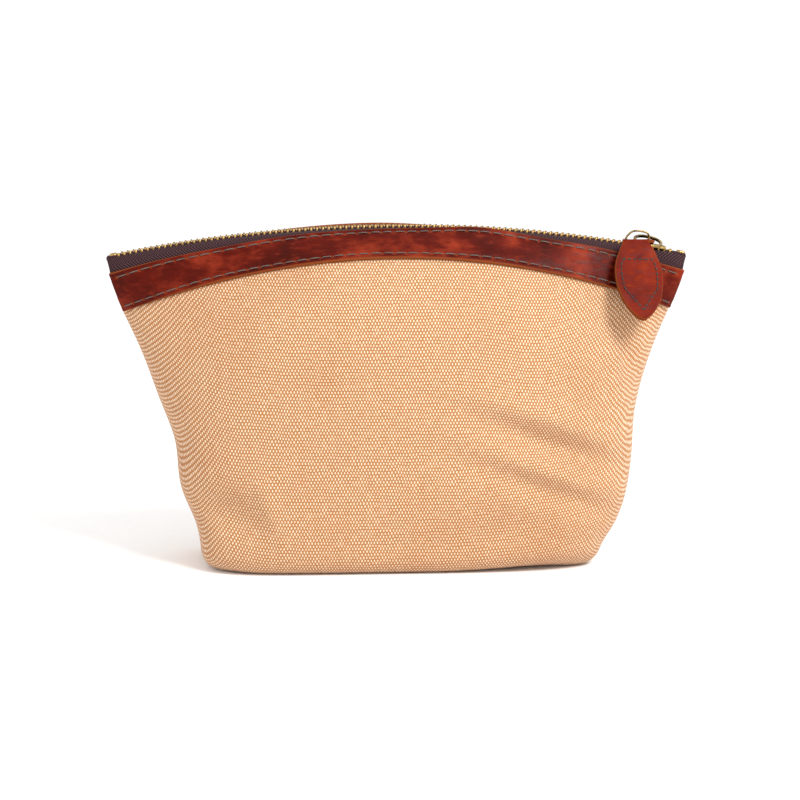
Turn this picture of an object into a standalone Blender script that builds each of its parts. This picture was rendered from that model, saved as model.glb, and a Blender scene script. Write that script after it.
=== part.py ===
"""Zippered pouch: a boxed canvas body with a lining, a mouth bound in leather and a metal zip.

Frame: +Z up, X along the zip, the front faces -Y, origin on the floor under the body's centre.
Lengths are in metres. The body is one master surface, from the bottom seam up the wall and over
the mouth to the zip. Each cloth or leather layer is a strip of that surface, moved out or in.
"""

import math

import bmesh
import bpy
import numpy as np
from mathutils import Matrix, Vector

MM = 0.001

# Body
BASE_HALF_LENGTH = 85 * MM  # middle of the base to where a side seam meets it
SEAM_HALF_LENGTH = 118 * MM  # middle to a side seam, at the lower edge of the bands
BELLY_HALF_DEPTH = 37 * MM  # where the filled body is deepest
BASE_EDGE_RADIUS = 7 * MM
SHOULDER_HEIGHT = 109.5 * MM  # lower edge of the bands at the side seams
SHOULDER_CROWN = 23.7 * MM  # how much higher that edge is at the middle
SHOULDER_HALF_DEPTH = 22 * MM
# Share of the way from the base's half length to the seam's, at shares of the height.
LEFT_SIDE = ((0, 0), (0.16, 0.08), (0.30, 0.27), (0.5, 0.36), (0.66, 0.55), (0.86, 0.79), (1, 1))
RIGHT_SIDE = ((0, 0), (0.08, 0.10), (0.17, 0.30), (0.30, 0.44), (0.62, 0.56), (0.86, 0.80), (1, 1))
# Share of the way from the shoulder's half depth to the belly's, at shares of the height.
DEPTH_SHARE = ((0, 0.88), (0.12, 0.97), (0.35, 1), (0.6, 0.93), (0.85, 0.61), (1, 0))
BASE_SQUARENESS = 5.0  # exponent of the outline seen from above: 2 is an ellipse
MOUTH_SQUARENESS = 2.0

# Leather bands and zip tapes
BAND_WIDTH = 17 * MM
BAND_END_HALF_LENGTH = 124.3 * MM  # middle to the end of the upper edge, had it run to the seam
BAND_TOP_HEIGHT = 144.2 * MM
BAND_TOP_CROWN = 18.2 * MM  # fall of the upper edge from the middle to its ends
BAND_TOP_HALF_DEPTH = 9 * MM
BAND_END_HALF_DEPTH = 6.2 * MM
BAND_THICKNESS = 1.4 * MM
CANVAS_THICKNESS = 0.9 * MM
LINING_THICKNESS = 0.5 * MM
TAPE_THICKNESS = 0.6 * MM
CANVAS_UNDER_BAND = 6 * MM  # the canvas ends this far above the band's lower edge
TAPE_TO_CANVAS = 1.9 * MM  # lets the back tape slide out over the canvas edge
BINDING_REACH = 5 * MM  # how far the bound seam allowances stand into the pouch
BINDING_THICKNESS = 2 * MM
BINDING_CLEARANCE = 1.8 * MM
STITCH_INSET = 2.3 * MM
THREAD_DIAMETER = 0.6 * MM
GAP = 0.3 * MM  # between touching pieces
END_KEEP_OFF = 0.5 * MM  # the ends of the bands and tapes stop this far from the side seams' plane

# Zip
CHAIN_HEIGHT = 145 * MM
CHAIN_HALF_CHORD = 124 * MM
CHAIN_SAG = 12.5 * MM  # the ends of the chain are this much lower than its middle
TOOTH_PITCH = 2.5 * MM
TOOTH_WIDTH = 1.1 * MM
TOOTH_HEIGHT = 2.2 * MM
TOOTH_TIP = 0.75 * MM  # the tips of each row stop this far from the middle
TOOTH_ROOT = 1.9 * MM
BEAD_EDGE = 2.6 * MM
TAPE_BEND = 5.9 * MM  # the tape leaves the bead level as far as this
TEETH_LEFT = -119.5 * MM
TEETH_RIGHT = 120.6 * MM
STOP_LENGTH = 3 * MM
STOP_HEIGHT = 2.8 * MM

# Slider, ring and puller
SLIDER_X = 106.3 * MM  # where it is parked, almost closed
SLIDER_LENGTH = 18 * MM
SLIDER_WIDTH = 8.8 * MM
PLATE_THICKNESS = 0.7 * MM
PLATE_CLEARANCE = 0.15 * MM
POST_WIDTH = 0.9 * MM
POST_LENGTH = 5 * MM
BRIDGE_WIDTH = 1.2 * MM
BRIDGE_THICKNESS = 0.8 * MM
BRIDGE_REACH = 8 * MM  # from the slider's middle to the bridge's left foot
BRIDGE_RIGHT_FOOT = 1.2 * MM
BRIDGE_CLEARANCE = 0.6 * MM  # over the ring when it is swung right up
RING_RADIUS = 5.8 * MM
RING_WIRE = 1.4 * MM
RING_X = 0.7 * MM  # along the slider, from its middle
RING_SLOPE = math.radians(15)  # the parked ring slopes down to the front
RING_LIFT = math.radians(58)  # how far the ring swings up from there
RING_FRONT = 9.6 * MM  # from the ring's hinge to the front of its wire
PULLER_LENGTH = 35.5 * MM
PULLER_HALF_WIDTH = 10.3 * MM
PULLER_TOP_HALF_WIDTH = 5.9 * MM
PULLER_OFFSET = -4.0 * MM  # the leaves hang to the left of the ring's middle
PULLER_TURN = math.radians(10)  # the leaves turn in their own plane, so that they hang upright
PULLER_LEAN = math.radians(36)  # the parked puller leans out from the vertical
NECK_HALF_WIDTH = 1.8 * MM
NECK_CLEARANCE = 0.8 * MM  # round the ring's wire, which curves across the neck
LEAF_THICKNESS = 1.2 * MM

COLUMNS = 22  # even steps across the front half, from side seam to side seam
BAND_END_STEP = 0.35  # the bands and tapes end at this share of the first and last step

CHAIN_RADIUS = (CHAIN_HALF_CHORD**2 + CHAIN_SAG**2) / (2 * CHAIN_SAG)
CHAIN_CENTRE_Z = CHAIN_HEIGHT - CHAIN_RADIUS


# ---------------------------------------------------------------- scene helpers


def clear_scene():
    for old in list(bpy.data.objects):
        bpy.data.objects.remove(old, do_unlink=True)


def new_collection(name):
    group = bpy.data.collections.new(name)
    bpy.context.scene.collection.children.link(group)
    return group


def make_material(name, colour, roughness, metallic=0.0):
    material = bpy.data.materials.new(name)
    material.use_nodes = True
    shader = material.node_tree.nodes["Principled BSDF"]
    shader.inputs["Base Color"].default_value = (*colour, 1.0)
    shader.inputs["Roughness"].default_value = roughness
    shader.inputs["Metallic"].default_value = metallic
    return material


def add_object(name, mesh, group, material=None, parent=None):
    piece = bpy.data.objects.new(name, mesh)
    group.objects.link(piece)
    if material is not None:
        mesh.materials.append(material)
    piece.parent = parent
    return piece


def add_empty(name, group, parent, location, tilt=0.0, axis="Y"):
    """An empty on a joint's axis, turned by tilt about one of its own axes."""
    empty = bpy.data.objects.new(name, None)
    group.objects.link(empty)
    empty.parent = parent
    empty.location = location
    empty.rotation_euler = (tilt, 0, 0) if axis == "X" else (0, tilt, 0)
    return empty


def mesh_from(name, build):
    """A mesh filled by build(bm), with its normals made to point outwards."""
    mesh = bpy.data.meshes.new(name)
    bm = bmesh.new()
    build(bm)
    bmesh.ops.recalc_face_normals(bm, faces=bm.faces)
    bm.to_mesh(mesh)
    bm.free()
    return mesh


def add_box(bm, low, high):
    """A box between two corners."""
    low, high = Vector(low), Vector(high)
    size = high - low
    place = Matrix.Translation((low + high) / 2) @ Matrix.Diagonal((*size, 1))
    bmesh.ops.create_cube(bm, size=1.0, matrix=place)


def layer_mesh(name, inner, outer, side):
    """A closed layer between two grids of points. side is -1 for the front and +1 for the back."""

    def build(bm):
        rows, columns = inner.shape[:2]
        verts = [
            [[bm.verts.new((p[0], -side * p[1], p[2])) for p in row] for row in grid]
            for grid in (inner, outer)
        ]
        for face in verts:
            for i in range(rows - 1):
                for j in range(columns - 1):
                    bm.faces.new((face[i][j], face[i][j + 1], face[i + 1][j + 1], face[i + 1][j]))
        rim = [(0, j) for j in range(columns - 1)]
        rim += [(i, columns - 1) for i in range(rows - 1)]
        rim += [(rows - 1, j) for j in range(columns - 1, 0, -1)]
        rim += [(i, 0) for i in range(rows - 1, 0, -1)]
        for (a, b), (c, d) in zip(rim, rim[1:] + rim[:1]):
            bm.faces.new((verts[0][a][b], verts[0][c][d], verts[1][c][d], verts[1][a][b]))

    return mesh_from(name, build)


def unite(piece, other, cutters):
    """Joins another object to a piece, and keeps the other as a hidden cutter."""
    join = piece.modifiers.new("join", "BOOLEAN")
    join.operation = "UNION"
    join.solver = "EXACT"
    join.object = other
    other.hide_render = True
    other.display_type = "WIRE"
    for group in list(other.users_collection):
        group.objects.unlink(other)
    cutters.objects.link(other)


def sweep(bm, sections):
    """Closes a row of equal-sided sections into one solid."""
    rings = [[bm.verts.new(p) for p in section] for section in sections]
    for first, second in zip(rings, rings[1:]):
        for i in range(len(first)):
            j = (i + 1) % len(first)
            bm.faces.new((first[i], first[j], second[j], second[i]))
    bm.faces.new(rings[0][::-1])
    bm.faces.new(rings[-1])


# ---------------------------------------------------------------- master surface


def smooth_curve(points, t):
    """A smooth curve through (position, value) points, level at no particular place."""
    place = np.array([p[0] for p in points], float)
    value = np.array([p[1] for p in points], float)
    slope = np.gradient(value, place)
    i = int(np.clip(np.searchsorted(place, t) - 1, 0, len(place) - 2))
    span = place[i + 1] - place[i]
    u = (t - place[i]) / span
    start = value[i] * (1 + 2 * u) * (1 - u) ** 2 + slope[i] * span * u * (1 - u) ** 2
    end = value[i + 1] * u * u * (3 - 2 * u) + slope[i + 1] * span * u * u * (u - 1)
    return float(start + end)


def mix(a, b, share):
    return a + (b - a) * share


def chain_height(x):
    return CHAIN_CENTRE_Z + math.sqrt(CHAIN_RADIUS**2 - x * x)


def outline(left, right, depth, squareness):
    """The front half of a rounded outline, as (x, y) points spaced evenly along it."""
    turn = np.linspace(-math.pi / 2, math.pi / 2, 721)
    power = 2 / squareness
    x = np.sign(np.sin(turn)) * np.abs(np.sin(turn)) ** power
    x = np.where(x < 0, x * left, x * right)
    y = -depth * np.abs(np.cos(turn)) ** power
    walked = np.concatenate(([0], np.cumsum(np.hypot(np.diff(x), np.diff(y)))))
    step = np.arange(COLUMNS + 1, dtype=float)
    step = np.sort(np.append(step, (BAND_END_STEP, COLUMNS - BAND_END_STEP)))
    stations = step * walked[-1] / COLUMNS
    return np.interp(stations, walked, x), np.interp(stations, walked, y)


def wall_outline(height):
    """The outline of the body at a share of its height."""
    growth = SEAM_HALF_LENGTH - BASE_HALF_LENGTH
    left = BASE_HALF_LENGTH + growth * smooth_curve(LEFT_SIDE, height)
    right = BASE_HALF_LENGTH + growth * smooth_curve(RIGHT_SIDE, height)
    depth = mix(SHOULDER_HALF_DEPTH, BELLY_HALF_DEPTH, smooth_curve(DEPTH_SHARE, height))
    drop = max(0.0, BASE_EDGE_RADIUS - height * SHOULDER_HEIGHT)
    inset = BASE_EDGE_RADIUS - math.sqrt(BASE_EDGE_RADIUS**2 - drop**2)
    square = mix(BASE_SQUARENESS, MOUTH_SQUARENESS, height**0.7)
    return outline(left - inset, right - inset, depth - inset, square)


SHOULDER_X, SHOULDER_Y = wall_outline(1.0)
SHOULDER_Z = SHOULDER_HEIGHT + SHOULDER_CROWN * (1 - (SHOULDER_X / SEAM_HALF_LENGTH) ** 2)


def wall_row(height):
    x, y = wall_outline(height)
    z = mix(-GAP / 2, SHOULDER_Z, height)  # the canvas lies GAP / 2 inside the master surface
    return np.stack([x, y, z], axis=1)


def bottom_row(share):
    """A row of the base, from the bottom seam (0) out to the wall's foot (1)."""
    foot = wall_row(0.0)
    seam = foot * (0.8, 0, 1)
    return seam + (foot - seam) * share


def pinch(x):
    """The lips come together past the place where the slider can reach."""
    share = np.clip((np.abs(x) - (SLIDER_X + SLIDER_LENGTH / 2 + 3 * MM)) / (7 * MM), 0, 1)
    return 1 - 0.25 * share * share * (3 - 2 * share)


def lip_row():
    """The upper edge of the band."""
    across = SHOULDER_X / SEAM_HALF_LENGTH
    x = across * BAND_END_HALF_LENGTH
    y = -mix(BAND_TOP_HALF_DEPTH, BAND_END_HALF_DEPTH, across**2) * pinch(x)
    z = BAND_TOP_HEIGHT - BAND_TOP_CROWN * across**2
    return np.stack([x, y, z], axis=1)


def chain_row(depth):
    """A row level with the zip's chain, at a distance from its middle."""
    x = SHOULDER_X / SEAM_HALF_LENGTH * (BAND_END_HALF_LENGTH + 1.5 * MM)
    y = -depth * (pinch(x) if depth > BEAD_EDGE + GAP else np.ones_like(x))
    z = np.array([chain_height(v) for v in x])
    return np.stack([x, y, z], axis=1)


def band_row(rise):
    """A row of the band's strip, at a distance above its lower edge."""
    foot, lip = wall_row(1.0), lip_row()
    return foot + (lip - foot) * (rise / BAND_WIDTH)


BOTTOM_SHARES = (0, 0.45, 0.85)
WALL_SHARES = (0, 0.015, 0.04, 0.1, 0.2, 0.32, 0.45, 0.58, 0.7, 0.8, 0.89, 0.95)
TAPE_FOOT = CANVAS_UNDER_BAND + TAPE_TO_CANVAS
BAND_RISES = (0, STITCH_INSET, CANVAS_UNDER_BAND, TAPE_FOOT, BAND_WIDTH - STITCH_INSET, BAND_WIDTH)


def master_surface():
    """The rows of the whole front half, their unit normals, and where the named rows are."""
    rows = [bottom_row(share) for share in BOTTOM_SHARES]
    rows += [wall_row(share) for share in WALL_SHARES]
    band = len(rows)
    rows += [band_row(rise) for rise in BAND_RISES]
    rows += [chain_row(TAPE_BEND), chain_row(BEAD_EDGE + GAP)]
    grid = np.array(rows)
    along = np.gradient(grid, axis=1)
    up = np.gradient(grid, axis=0)
    normal = np.cross(along, up)
    normal /= np.linalg.norm(normal, axis=2, keepdims=True)
    marks = {rise: band + i for i, rise in enumerate(BAND_RISES)}
    return grid, normal, marks


GRID, NORMAL, MARKS = master_surface()


def strip(first, last, offset, ends=0, keep_off=GAP / 2):
    """Rows first to last of the master surface, moved by offset along its normals."""
    part = slice(first, last + 1)
    span = slice(ends, GRID.shape[1] - ends)
    points = GRID[part, span] + NORMAL[part, span] * offset
    points[..., 1] = np.minimum(points[..., 1], -keep_off)
    return points


# ---------------------------------------------------------------- cloth and leather


def add_layer(name, side, first, last, offsets, seam, group, material):
    """A layer of the master surface, between two offsets. seam is (columns left out, y kept off)."""
    ends, keep_off = seam
    inner, outer = (strip(first, last, offset, ends, keep_off) for offset in offsets)
    return add_object(name, layer_mesh(name, inner, outer, side), group, material)


def make_canvas(name, side, group, material):
    """Half of the canvas body, which meets the other half at the side and bottom seams."""
    offsets = (-GAP / 2 - CANVAS_THICKNESS, -GAP / 2)
    add_layer(name, side, 0, MARKS[CANVAS_UNDER_BAND], offsets, (0, GAP / 2), group, material)


def make_lining(name, side, group, material):
    outer = -GAP / 2 - CANVAS_THICKNESS - GAP
    offsets = (outer - LINING_THICKNESS, outer)
    add_layer(name, side, 0, MARKS[CANVAS_UNDER_BAND], offsets, (0, GAP / 2), group, material)


def make_band(name, side, group, material):
    offsets = (GAP / 2, GAP / 2 + BAND_THICKNESS)
    add_layer(name, side, MARKS[0], MARKS[BAND_WIDTH], offsets, (1, END_KEEP_OFF), group, material)


def make_tape(name, side, group, material):
    offsets = (-GAP / 2 - TAPE_THICKNESS, -GAP / 2)
    last = GRID.shape[0] - 1
    add_layer(name, side, MARKS[TAPE_FOOT], last, offsets, (1, END_KEEP_OFF), group, material)


def make_band_thread(name, side, rise, group, material):
    """One row of stitching, as a thin cord that lies along the band's outer face."""
    row = MARKS[rise]
    out = GAP / 2 + BAND_THICKNESS + GAP + THREAD_DIAMETER / 2
    centre = strip(row, row, out, ends=1)[0]
    normal = NORMAL[row, 1:-1]
    up = np.cross(normal, np.gradient(centre, axis=0))
    up /= np.linalg.norm(up, axis=1, keepdims=True)
    half = THREAD_DIAMETER / 2

    def build(bm):
        sections = []
        for p, n, u in zip(centre, normal, up):
            corners = (p + n * half, p + u * half, p - n * half, p - u * half)
            sections.append([(c[0], -side * c[1], c[2]) for c in corners])
        sweep(bm, sections)

    return add_object(name, mesh_from(name, build), group, material)


def make_seam_binding(name, end, group, material):
    """The folded tape that covers a side seam inside the lining. end is -1 left, +1 right."""
    column = 0 if end < 0 else GRID.shape[1] - 1
    first = len(BOTTOM_SHARES) + 2
    last = MARKS[0]
    depth = CANVAS_THICKNESS + LINING_THICKNESS + BINDING_CLEARANCE
    reach, half = BINDING_REACH, BINDING_THICKNESS / 2

    def build(bm):
        sections = []
        for row in range(first, last + 1):
            x, _, z = GRID[row, column]
            outer, inner = x - end * depth, x - end * (depth + reach)
            corners = ((outer, -half, z), (inner, -half, z), (inner, half, z), (outer, half, z))
            sections.append(corners)
        sweep(bm, sections)

    return add_object(name, mesh_from(name, build), group, material)


def make_bottom_binding(group, material):
    """The folded tape that covers the bottom seam inside the lining."""
    lift = CANVAS_THICKNESS + LINING_THICKNESS + BINDING_CLEARANCE
    half_length = 0.78 * BASE_HALF_LENGTH
    half = BINDING_THICKNESS / 2

    def build(bm):
        add_box(bm, (-half_length, -half, lift), (half_length, half, lift + BINDING_REACH))

    return add_object("bottom_seam_binding", mesh_from("bottom_seam_binding", build), group, material)


# ---------------------------------------------------------------- zip


def make_teeth(name, side, group, material):
    """One row of teeth on its bead: a comb along the arc of the chain."""
    first = math.asin(TEETH_LEFT / CHAIN_RADIUS)
    last = math.asin(TEETH_RIGHT / CHAIN_RADIUS)
    pitch = TOOTH_PITCH / CHAIN_RADIUS
    tooth = TOOTH_WIDTH / CHAIN_RADIUS
    shift = pitch / 2 if side > 0 else 0.0
    count = int((last - first - shift) / pitch)

    def build(bm):
        def pair(turn, y, radius):
            return bm.verts.new((radius * math.sin(turn), side * y, CHAIN_CENTRE_Z + radius * math.cos(turn)))

        previous = None
        for i in range(count):
            start = first + shift + i * pitch
            for turn, solid in ((start, True), (start + tooth, False)):
                edge = [pair(turn, BEAD_EDGE, CHAIN_RADIUS), pair(turn, TOOTH_ROOT, CHAIN_RADIUS)]
                if previous is not None:
                    bm.faces.new((previous[0], previous[1], edge[1], edge[0]))
                if not solid:
                    tips = [pair(t, TOOTH_TIP, CHAIN_RADIUS) for t in (start, turn)]
                    bm.faces.new((previous[1], tips[0], tips[1], edge[1]))
                previous = edge

    mesh = mesh_from(name, build)
    comb = add_object(name, mesh, group, material)
    wall = comb.modifiers.new("tooth height", "SOLIDIFY")
    wall.thickness = TOOTH_HEIGHT
    wall.offset = 0.0
    return comb


def stop_mesh(name, low_y, high_y):
    half = STOP_HEIGHT / 2

    def build(bm):
        add_box(bm, (-STOP_LENGTH / 2, low_y, -half), (STOP_LENGTH / 2, high_y, half))

    return mesh_from(name, build)


def make_stop(name, x, low_y, high_y, group, material):
    """A crimped stop on the chain. It is square to the chain where it sits."""
    stop = add_object(name, stop_mesh(name, low_y, high_y), group, material)
    stop.location = (x, 0, chain_height(x))
    stop.rotation_euler = (0, math.asin(x / CHAIN_RADIUS), 0)
    return stop


def make_slider(group, cutters, material, pivot):
    """Two plates joined by a post that runs between the rows of teeth."""
    inner = TOOTH_HEIGHT / 2 + PLATE_CLEARANCE
    outer = inner + PLATE_THICKNESS
    half_width = SLIDER_WIDTH / 2
    nose = SLIDER_LENGTH / 2 - 1 * MM

    def plate(sign):
        """A plate whose two left corners are cut off, where the joined chain comes out."""

        def build(bm):
            tail = -SLIDER_LENGTH / 2
            cut = 3 * MM
            shape = [(tail, -half_width + cut / 2), (tail + cut, -half_width)]
            shape += [(SLIDER_LENGTH / 2, -half_width)]
            shape += [(x, -y) for x, y in shape[::-1]]
            levels = sorted((sign * inner, sign * outer))
            sweep(bm, [[(x, y, z) for x, y in shape] for z in levels])

        return build

    slider = add_object("slider_body", mesh_from("slider_body", plate(1)), group, material, pivot)
    slider.location = (0, 0, CHAIN_RADIUS)
    lower = add_object("slider_lower_plate", mesh_from("slider_lower_plate", plate(-1)), cutters, None, pivot)
    lower.location = slider.location

    def post(bm):
        overlap = PLATE_THICKNESS / 2
        low = (nose - POST_LENGTH, -POST_WIDTH / 2, -inner - overlap)
        high = (nose, POST_WIDTH / 2, inner + overlap)
        add_box(bm, low, high)

    middle = add_object("slider_post", mesh_from("slider_post", post), cutters, None, pivot)
    middle.location = slider.location
    unite(slider, middle, cutters)
    unite(slider, lower, cutters)
    return outer


def ring_hinge_height(plate_top):
    """Height of the ring's wire over the chain at the slider's middle: it lies on the plate's edge."""
    edge = plate_top + PLATE_CLEARANCE + RING_WIRE / 2 / math.cos(RING_SLOPE)
    return edge + SLIDER_WIDTH / 2 * math.tan(RING_SLOPE)


def make_bridge(plate_top, group, material, pivot):
    """The arch on the slider's top plate that holds the ring."""
    steepest = RING_LIFT - RING_SLOPE
    wire = RING_WIRE / 2 / math.cos(steepest) + math.tan(steepest) * BRIDGE_WIDTH / 2
    clear = ring_hinge_height(plate_top) + wire + BRIDGE_CLEARANCE
    foot = plate_top + GAP
    left, right = -BRIDGE_REACH, BRIDGE_RIGHT_FOOT
    path = [(left, foot), (left + 0.6 * MM, foot + 0.9 * MM), (left + 2.2 * MM, clear - 0.4 * MM)]
    path += [(left + 4 * MM, clear), (right - 1.8 * MM, clear), (right - 0.4 * MM, clear - 0.7 * MM)]
    path += [(right, foot)]

    def build(bm):
        sections = []
        points = [Vector((x, 0, z)) for x, z in path]
        for i, point in enumerate(points):
            ahead = points[min(i + 1, len(points) - 1)] - points[max(i - 1, 0)]
            across = Vector((-ahead.z, 0, ahead.x)).normalized() * BRIDGE_THICKNESS
            if i in (0, len(points) - 1):
                across = Vector((-1 if i == 0 else 1, 0, 0)) * BRIDGE_THICKNESS
            side = Vector((0, BRIDGE_WIDTH / 2, 0))
            sections.append((point - side, point + side, point + across + side, point + across - side))
        sweep(bm, sections)

    bridge = add_object("slider_bridge", mesh_from("slider_bridge", build), group, material, pivot)
    bridge.location = (0, 0, CHAIN_RADIUS)


def make_ring(group, material, hinge):
    """The ring, in its hinge's frame: the front of its wire is RING_FRONT ahead of the hinge."""
    bpy.ops.mesh.primitive_torus_add(
        major_radius=RING_RADIUS, minor_radius=RING_WIRE / 2, major_segments=28, minor_segments=8
    )
    ring = bpy.context.active_object
    ring.name = "pull_ring"
    for old in list(ring.users_collection):
        old.objects.unlink(ring)
    group.objects.link(ring)
    ring.data.materials.append(material)
    ring.data.transform(Matrix.Translation((RING_X, -(RING_FRONT - RING_RADIUS), 0)))
    ring.parent = hinge
    for face in ring.data.polygons:
        face.use_smooth = True


def leaf_half_width(drop):
    """Half the width of a leaf at a distance below the ring: widest a third of the way down."""
    widest = 0.4 * PULLER_LENGTH
    if drop < widest:
        share = math.sin(max(drop, 0) / widest * math.pi / 2)
        return mix(PULLER_TOP_HALF_WIDTH, PULLER_HALF_WIDTH, share)
    share = min((drop - widest) / (PULLER_LENGTH - widest), 0.985)
    return PULLER_HALF_WIDTH * (1 - share**2.1) ** 0.62


def turned(point):
    """A leaf's point, turned in the leaf's own plane about the middle of the ring."""
    x, z = point.x - RING_X, point.z
    c, s = math.cos(PULLER_TURN), math.sin(PULLER_TURN)
    return Vector((RING_X + x * c - z * s, point.y, z * c + x * s))


def make_puller(group, material, hinge):
    """One strip of leather: front leaf, narrow neck round the ring's wire, back leaf."""
    loop = RING_WIRE / 2 + NECK_CLEARANCE + LEAF_THICKNESS / 2
    sewn = LEAF_THICKNESS / 2 + GAP / 2
    drops = [PULLER_LENGTH * share for share in (1, 0.97, 0.9, 0.8, 0.66, 0.5, 0.4, 0.28)]
    front = [(-sewn, -d, leaf_half_width(d), PULLER_OFFSET) for d in drops]
    front += [(-loop, -0.1 * PULLER_LENGTH, leaf_half_width(0.1 * PULLER_LENGTH), PULLER_OFFSET)]
    front += [(-loop, 0.4 * MM, PULLER_TOP_HALF_WIDTH, PULLER_OFFSET)]
    front += [(-loop, 0.8 * MM, NECK_HALF_WIDTH, RING_X)]
    turns = (35, 65, 90, 115, 145, 180)
    neck = [
        (-loop * math.cos(math.radians(a)), loop * math.sin(math.radians(a)), NECK_HALF_WIDTH, RING_X)
        for a in turns
    ]
    back = [(loop, -0.07 * PULLER_LENGTH, NECK_HALF_WIDTH, RING_X)]
    wide = 0.15 * PULLER_LENGTH
    back += [((loop + sewn) / 2, -0.13 * PULLER_LENGTH, NECK_HALF_WIDTH, RING_X)]
    back += [((loop + 2 * sewn) / 3, -wide, leaf_half_width(wide), PULLER_OFFSET)]
    back += [(sewn, -d, leaf_half_width(d), PULLER_OFFSET) for d in drops[::-1]]
    path = front + neck + back

    def build(bm):
        sections = []
        for i, (y, z, half, centre) in enumerate(path):
            before, after = path[max(i - 1, 0)], path[min(i + 1, len(path) - 1)]
            ahead = Vector((0, after[0] - before[0], after[1] - before[1])).normalized()
            out = Vector((0, -ahead.z, ahead.y)) * (LEAF_THICKNESS / 2)
            point = Vector((centre, y, z))
            side = Vector((half, 0, 0))
            corners = (point - side + out, point + side + out, point + side - out, point - side - out)
            sections.append(corners if half == NECK_HALF_WIDTH else [turned(corner) for corner in corners])
        sweep(bm, sections)

    return add_object("puller_leather", mesh_from("puller_leather", build), group, material, hinge)


def make_puller_thread(group, material, hinge):
    """The stitching that joins the leaves: a closed line round the front leaf."""
    out = -(LEAF_THICKNESS + GAP / 2 + GAP + THREAD_DIAMETER / 2)
    inset = STITCH_INSET
    drops = [PULLER_LENGTH * share for share in (0.27, 0.4, 0.55, 0.7, 0.82)]
    right = [(leaf_half_width(d) - inset, -d) for d in drops]
    loop = right + [(0, -(PULLER_LENGTH - 1.6 * inset))] + [(-x, z) for x, z in right[::-1]]
    half = THREAD_DIAMETER / 2

    def build(bm):
        rings = []
        for i, (x, z) in enumerate(loop):
            before, after = loop[i - 1], loop[(i + 1) % len(loop)]
            along = Vector((after[0] - before[0], 0, after[1] - before[1])).normalized()
            across = Vector((-along.z, 0, along.x)) * half
            deep = Vector((0, half, 0))
            point = Vector((x + PULLER_OFFSET, out, z))
            ring = (point + across, point + deep, point - across, point - deep)
            rings.append([bm.verts.new(turned(p)) for p in ring])
        for first, second in zip(rings, rings[1:] + rings[:1]):
            for i in range(4):
                j = (i + 1) % 4
                bm.faces.new((first[i], first[j], second[j], second[i]))

    return add_object("puller_thread", mesh_from("puller_thread", build), group, material, hinge)


# ---------------------------------------------------------------- assembly


def build_pouch():
    clear_scene()
    parts = new_collection("zippered_pouch")
    cutters = new_collection("cutters")

    canvas = make_material("canvas", (0.60, 0.36, 0.16), 0.9)
    cotton = make_material("lining", (0.42, 0.30, 0.19), 0.85)
    leather = make_material("leather", (0.28, 0.05, 0.015), 0.4)
    webbing = make_material("tape", (0.07, 0.03, 0.03), 0.85)
    thread = make_material("thread", (0.16, 0.10, 0.07), 0.7)
    brass = make_material("brass", (0.35, 0.25, 0.11), 0.35, 1.0)

    for word, side in (("front", -1), ("back", 1)):
        make_canvas(f"canvas_{word}_panel", side, parts, canvas)
        make_lining(f"lining_{word}_panel", side, parts, cotton)
        make_band(f"{word}_band", side, parts, leather)
        make_band_thread(f"{word}_band_lower_thread", side, STITCH_INSET, parts, thread)
        make_band_thread(f"{word}_band_upper_thread", side, BAND_WIDTH - STITCH_INSET, parts, thread)
        make_tape(f"{word}_zip_tape", side, parts, webbing)
        make_teeth(f"{word}_teeth", side, parts, brass)
        near, far = sorted((side * TOOTH_TIP, side * BEAD_EDGE))
        top_x = TEETH_RIGHT + GAP + STOP_LENGTH / 2
        make_stop(f"{word}_top_stop", top_x, near, far, parts, brass)
    make_seam_binding("left_seam_binding", -1, parts, cotton)
    make_seam_binding("right_seam_binding", 1, parts, cotton)
    make_bottom_binding(parts, cotton)
    bottom_x = TEETH_LEFT - GAP - STOP_LENGTH / 2
    make_stop("bottom_stop", bottom_x, -BEAD_EDGE, BEAD_EDGE, parts, brass)

    slider_tilt = math.asin(SLIDER_X / CHAIN_RADIUS)
    pivot = add_empty("slider_pivot", parts, None, (0, 0, CHAIN_CENTRE_Z), slider_tilt)
    plate_top = make_slider(parts, cutters, brass, pivot)
    make_bridge(plate_top, parts, brass, pivot)
    hinge_height = CHAIN_RADIUS + ring_hinge_height(plate_top)
    ring_hinge = add_empty("ring_hinge", parts, pivot, (0, 0, hinge_height), RING_SLOPE, "X")
    make_ring(parts, brass, ring_hinge)
    lean = -PULLER_LEAN - RING_SLOPE
    puller_hinge = add_empty("puller_hinge", parts, ring_hinge, (0, -RING_FRONT, 0), lean, "X")
    make_puller(parts, leather, puller_hinge)
    make_puller_thread(parts, thread, puller_hinge)


build_pouch()
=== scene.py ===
"""A zipped canvas pouch with leather bands, dressed in cloth, leather, thread and antique brass."""

import logging
import math
from dataclasses import dataclass, field
from enum import Enum
from typing import Any

import bpy
import numpy as np
from mathutils import Matrix, Vector


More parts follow.
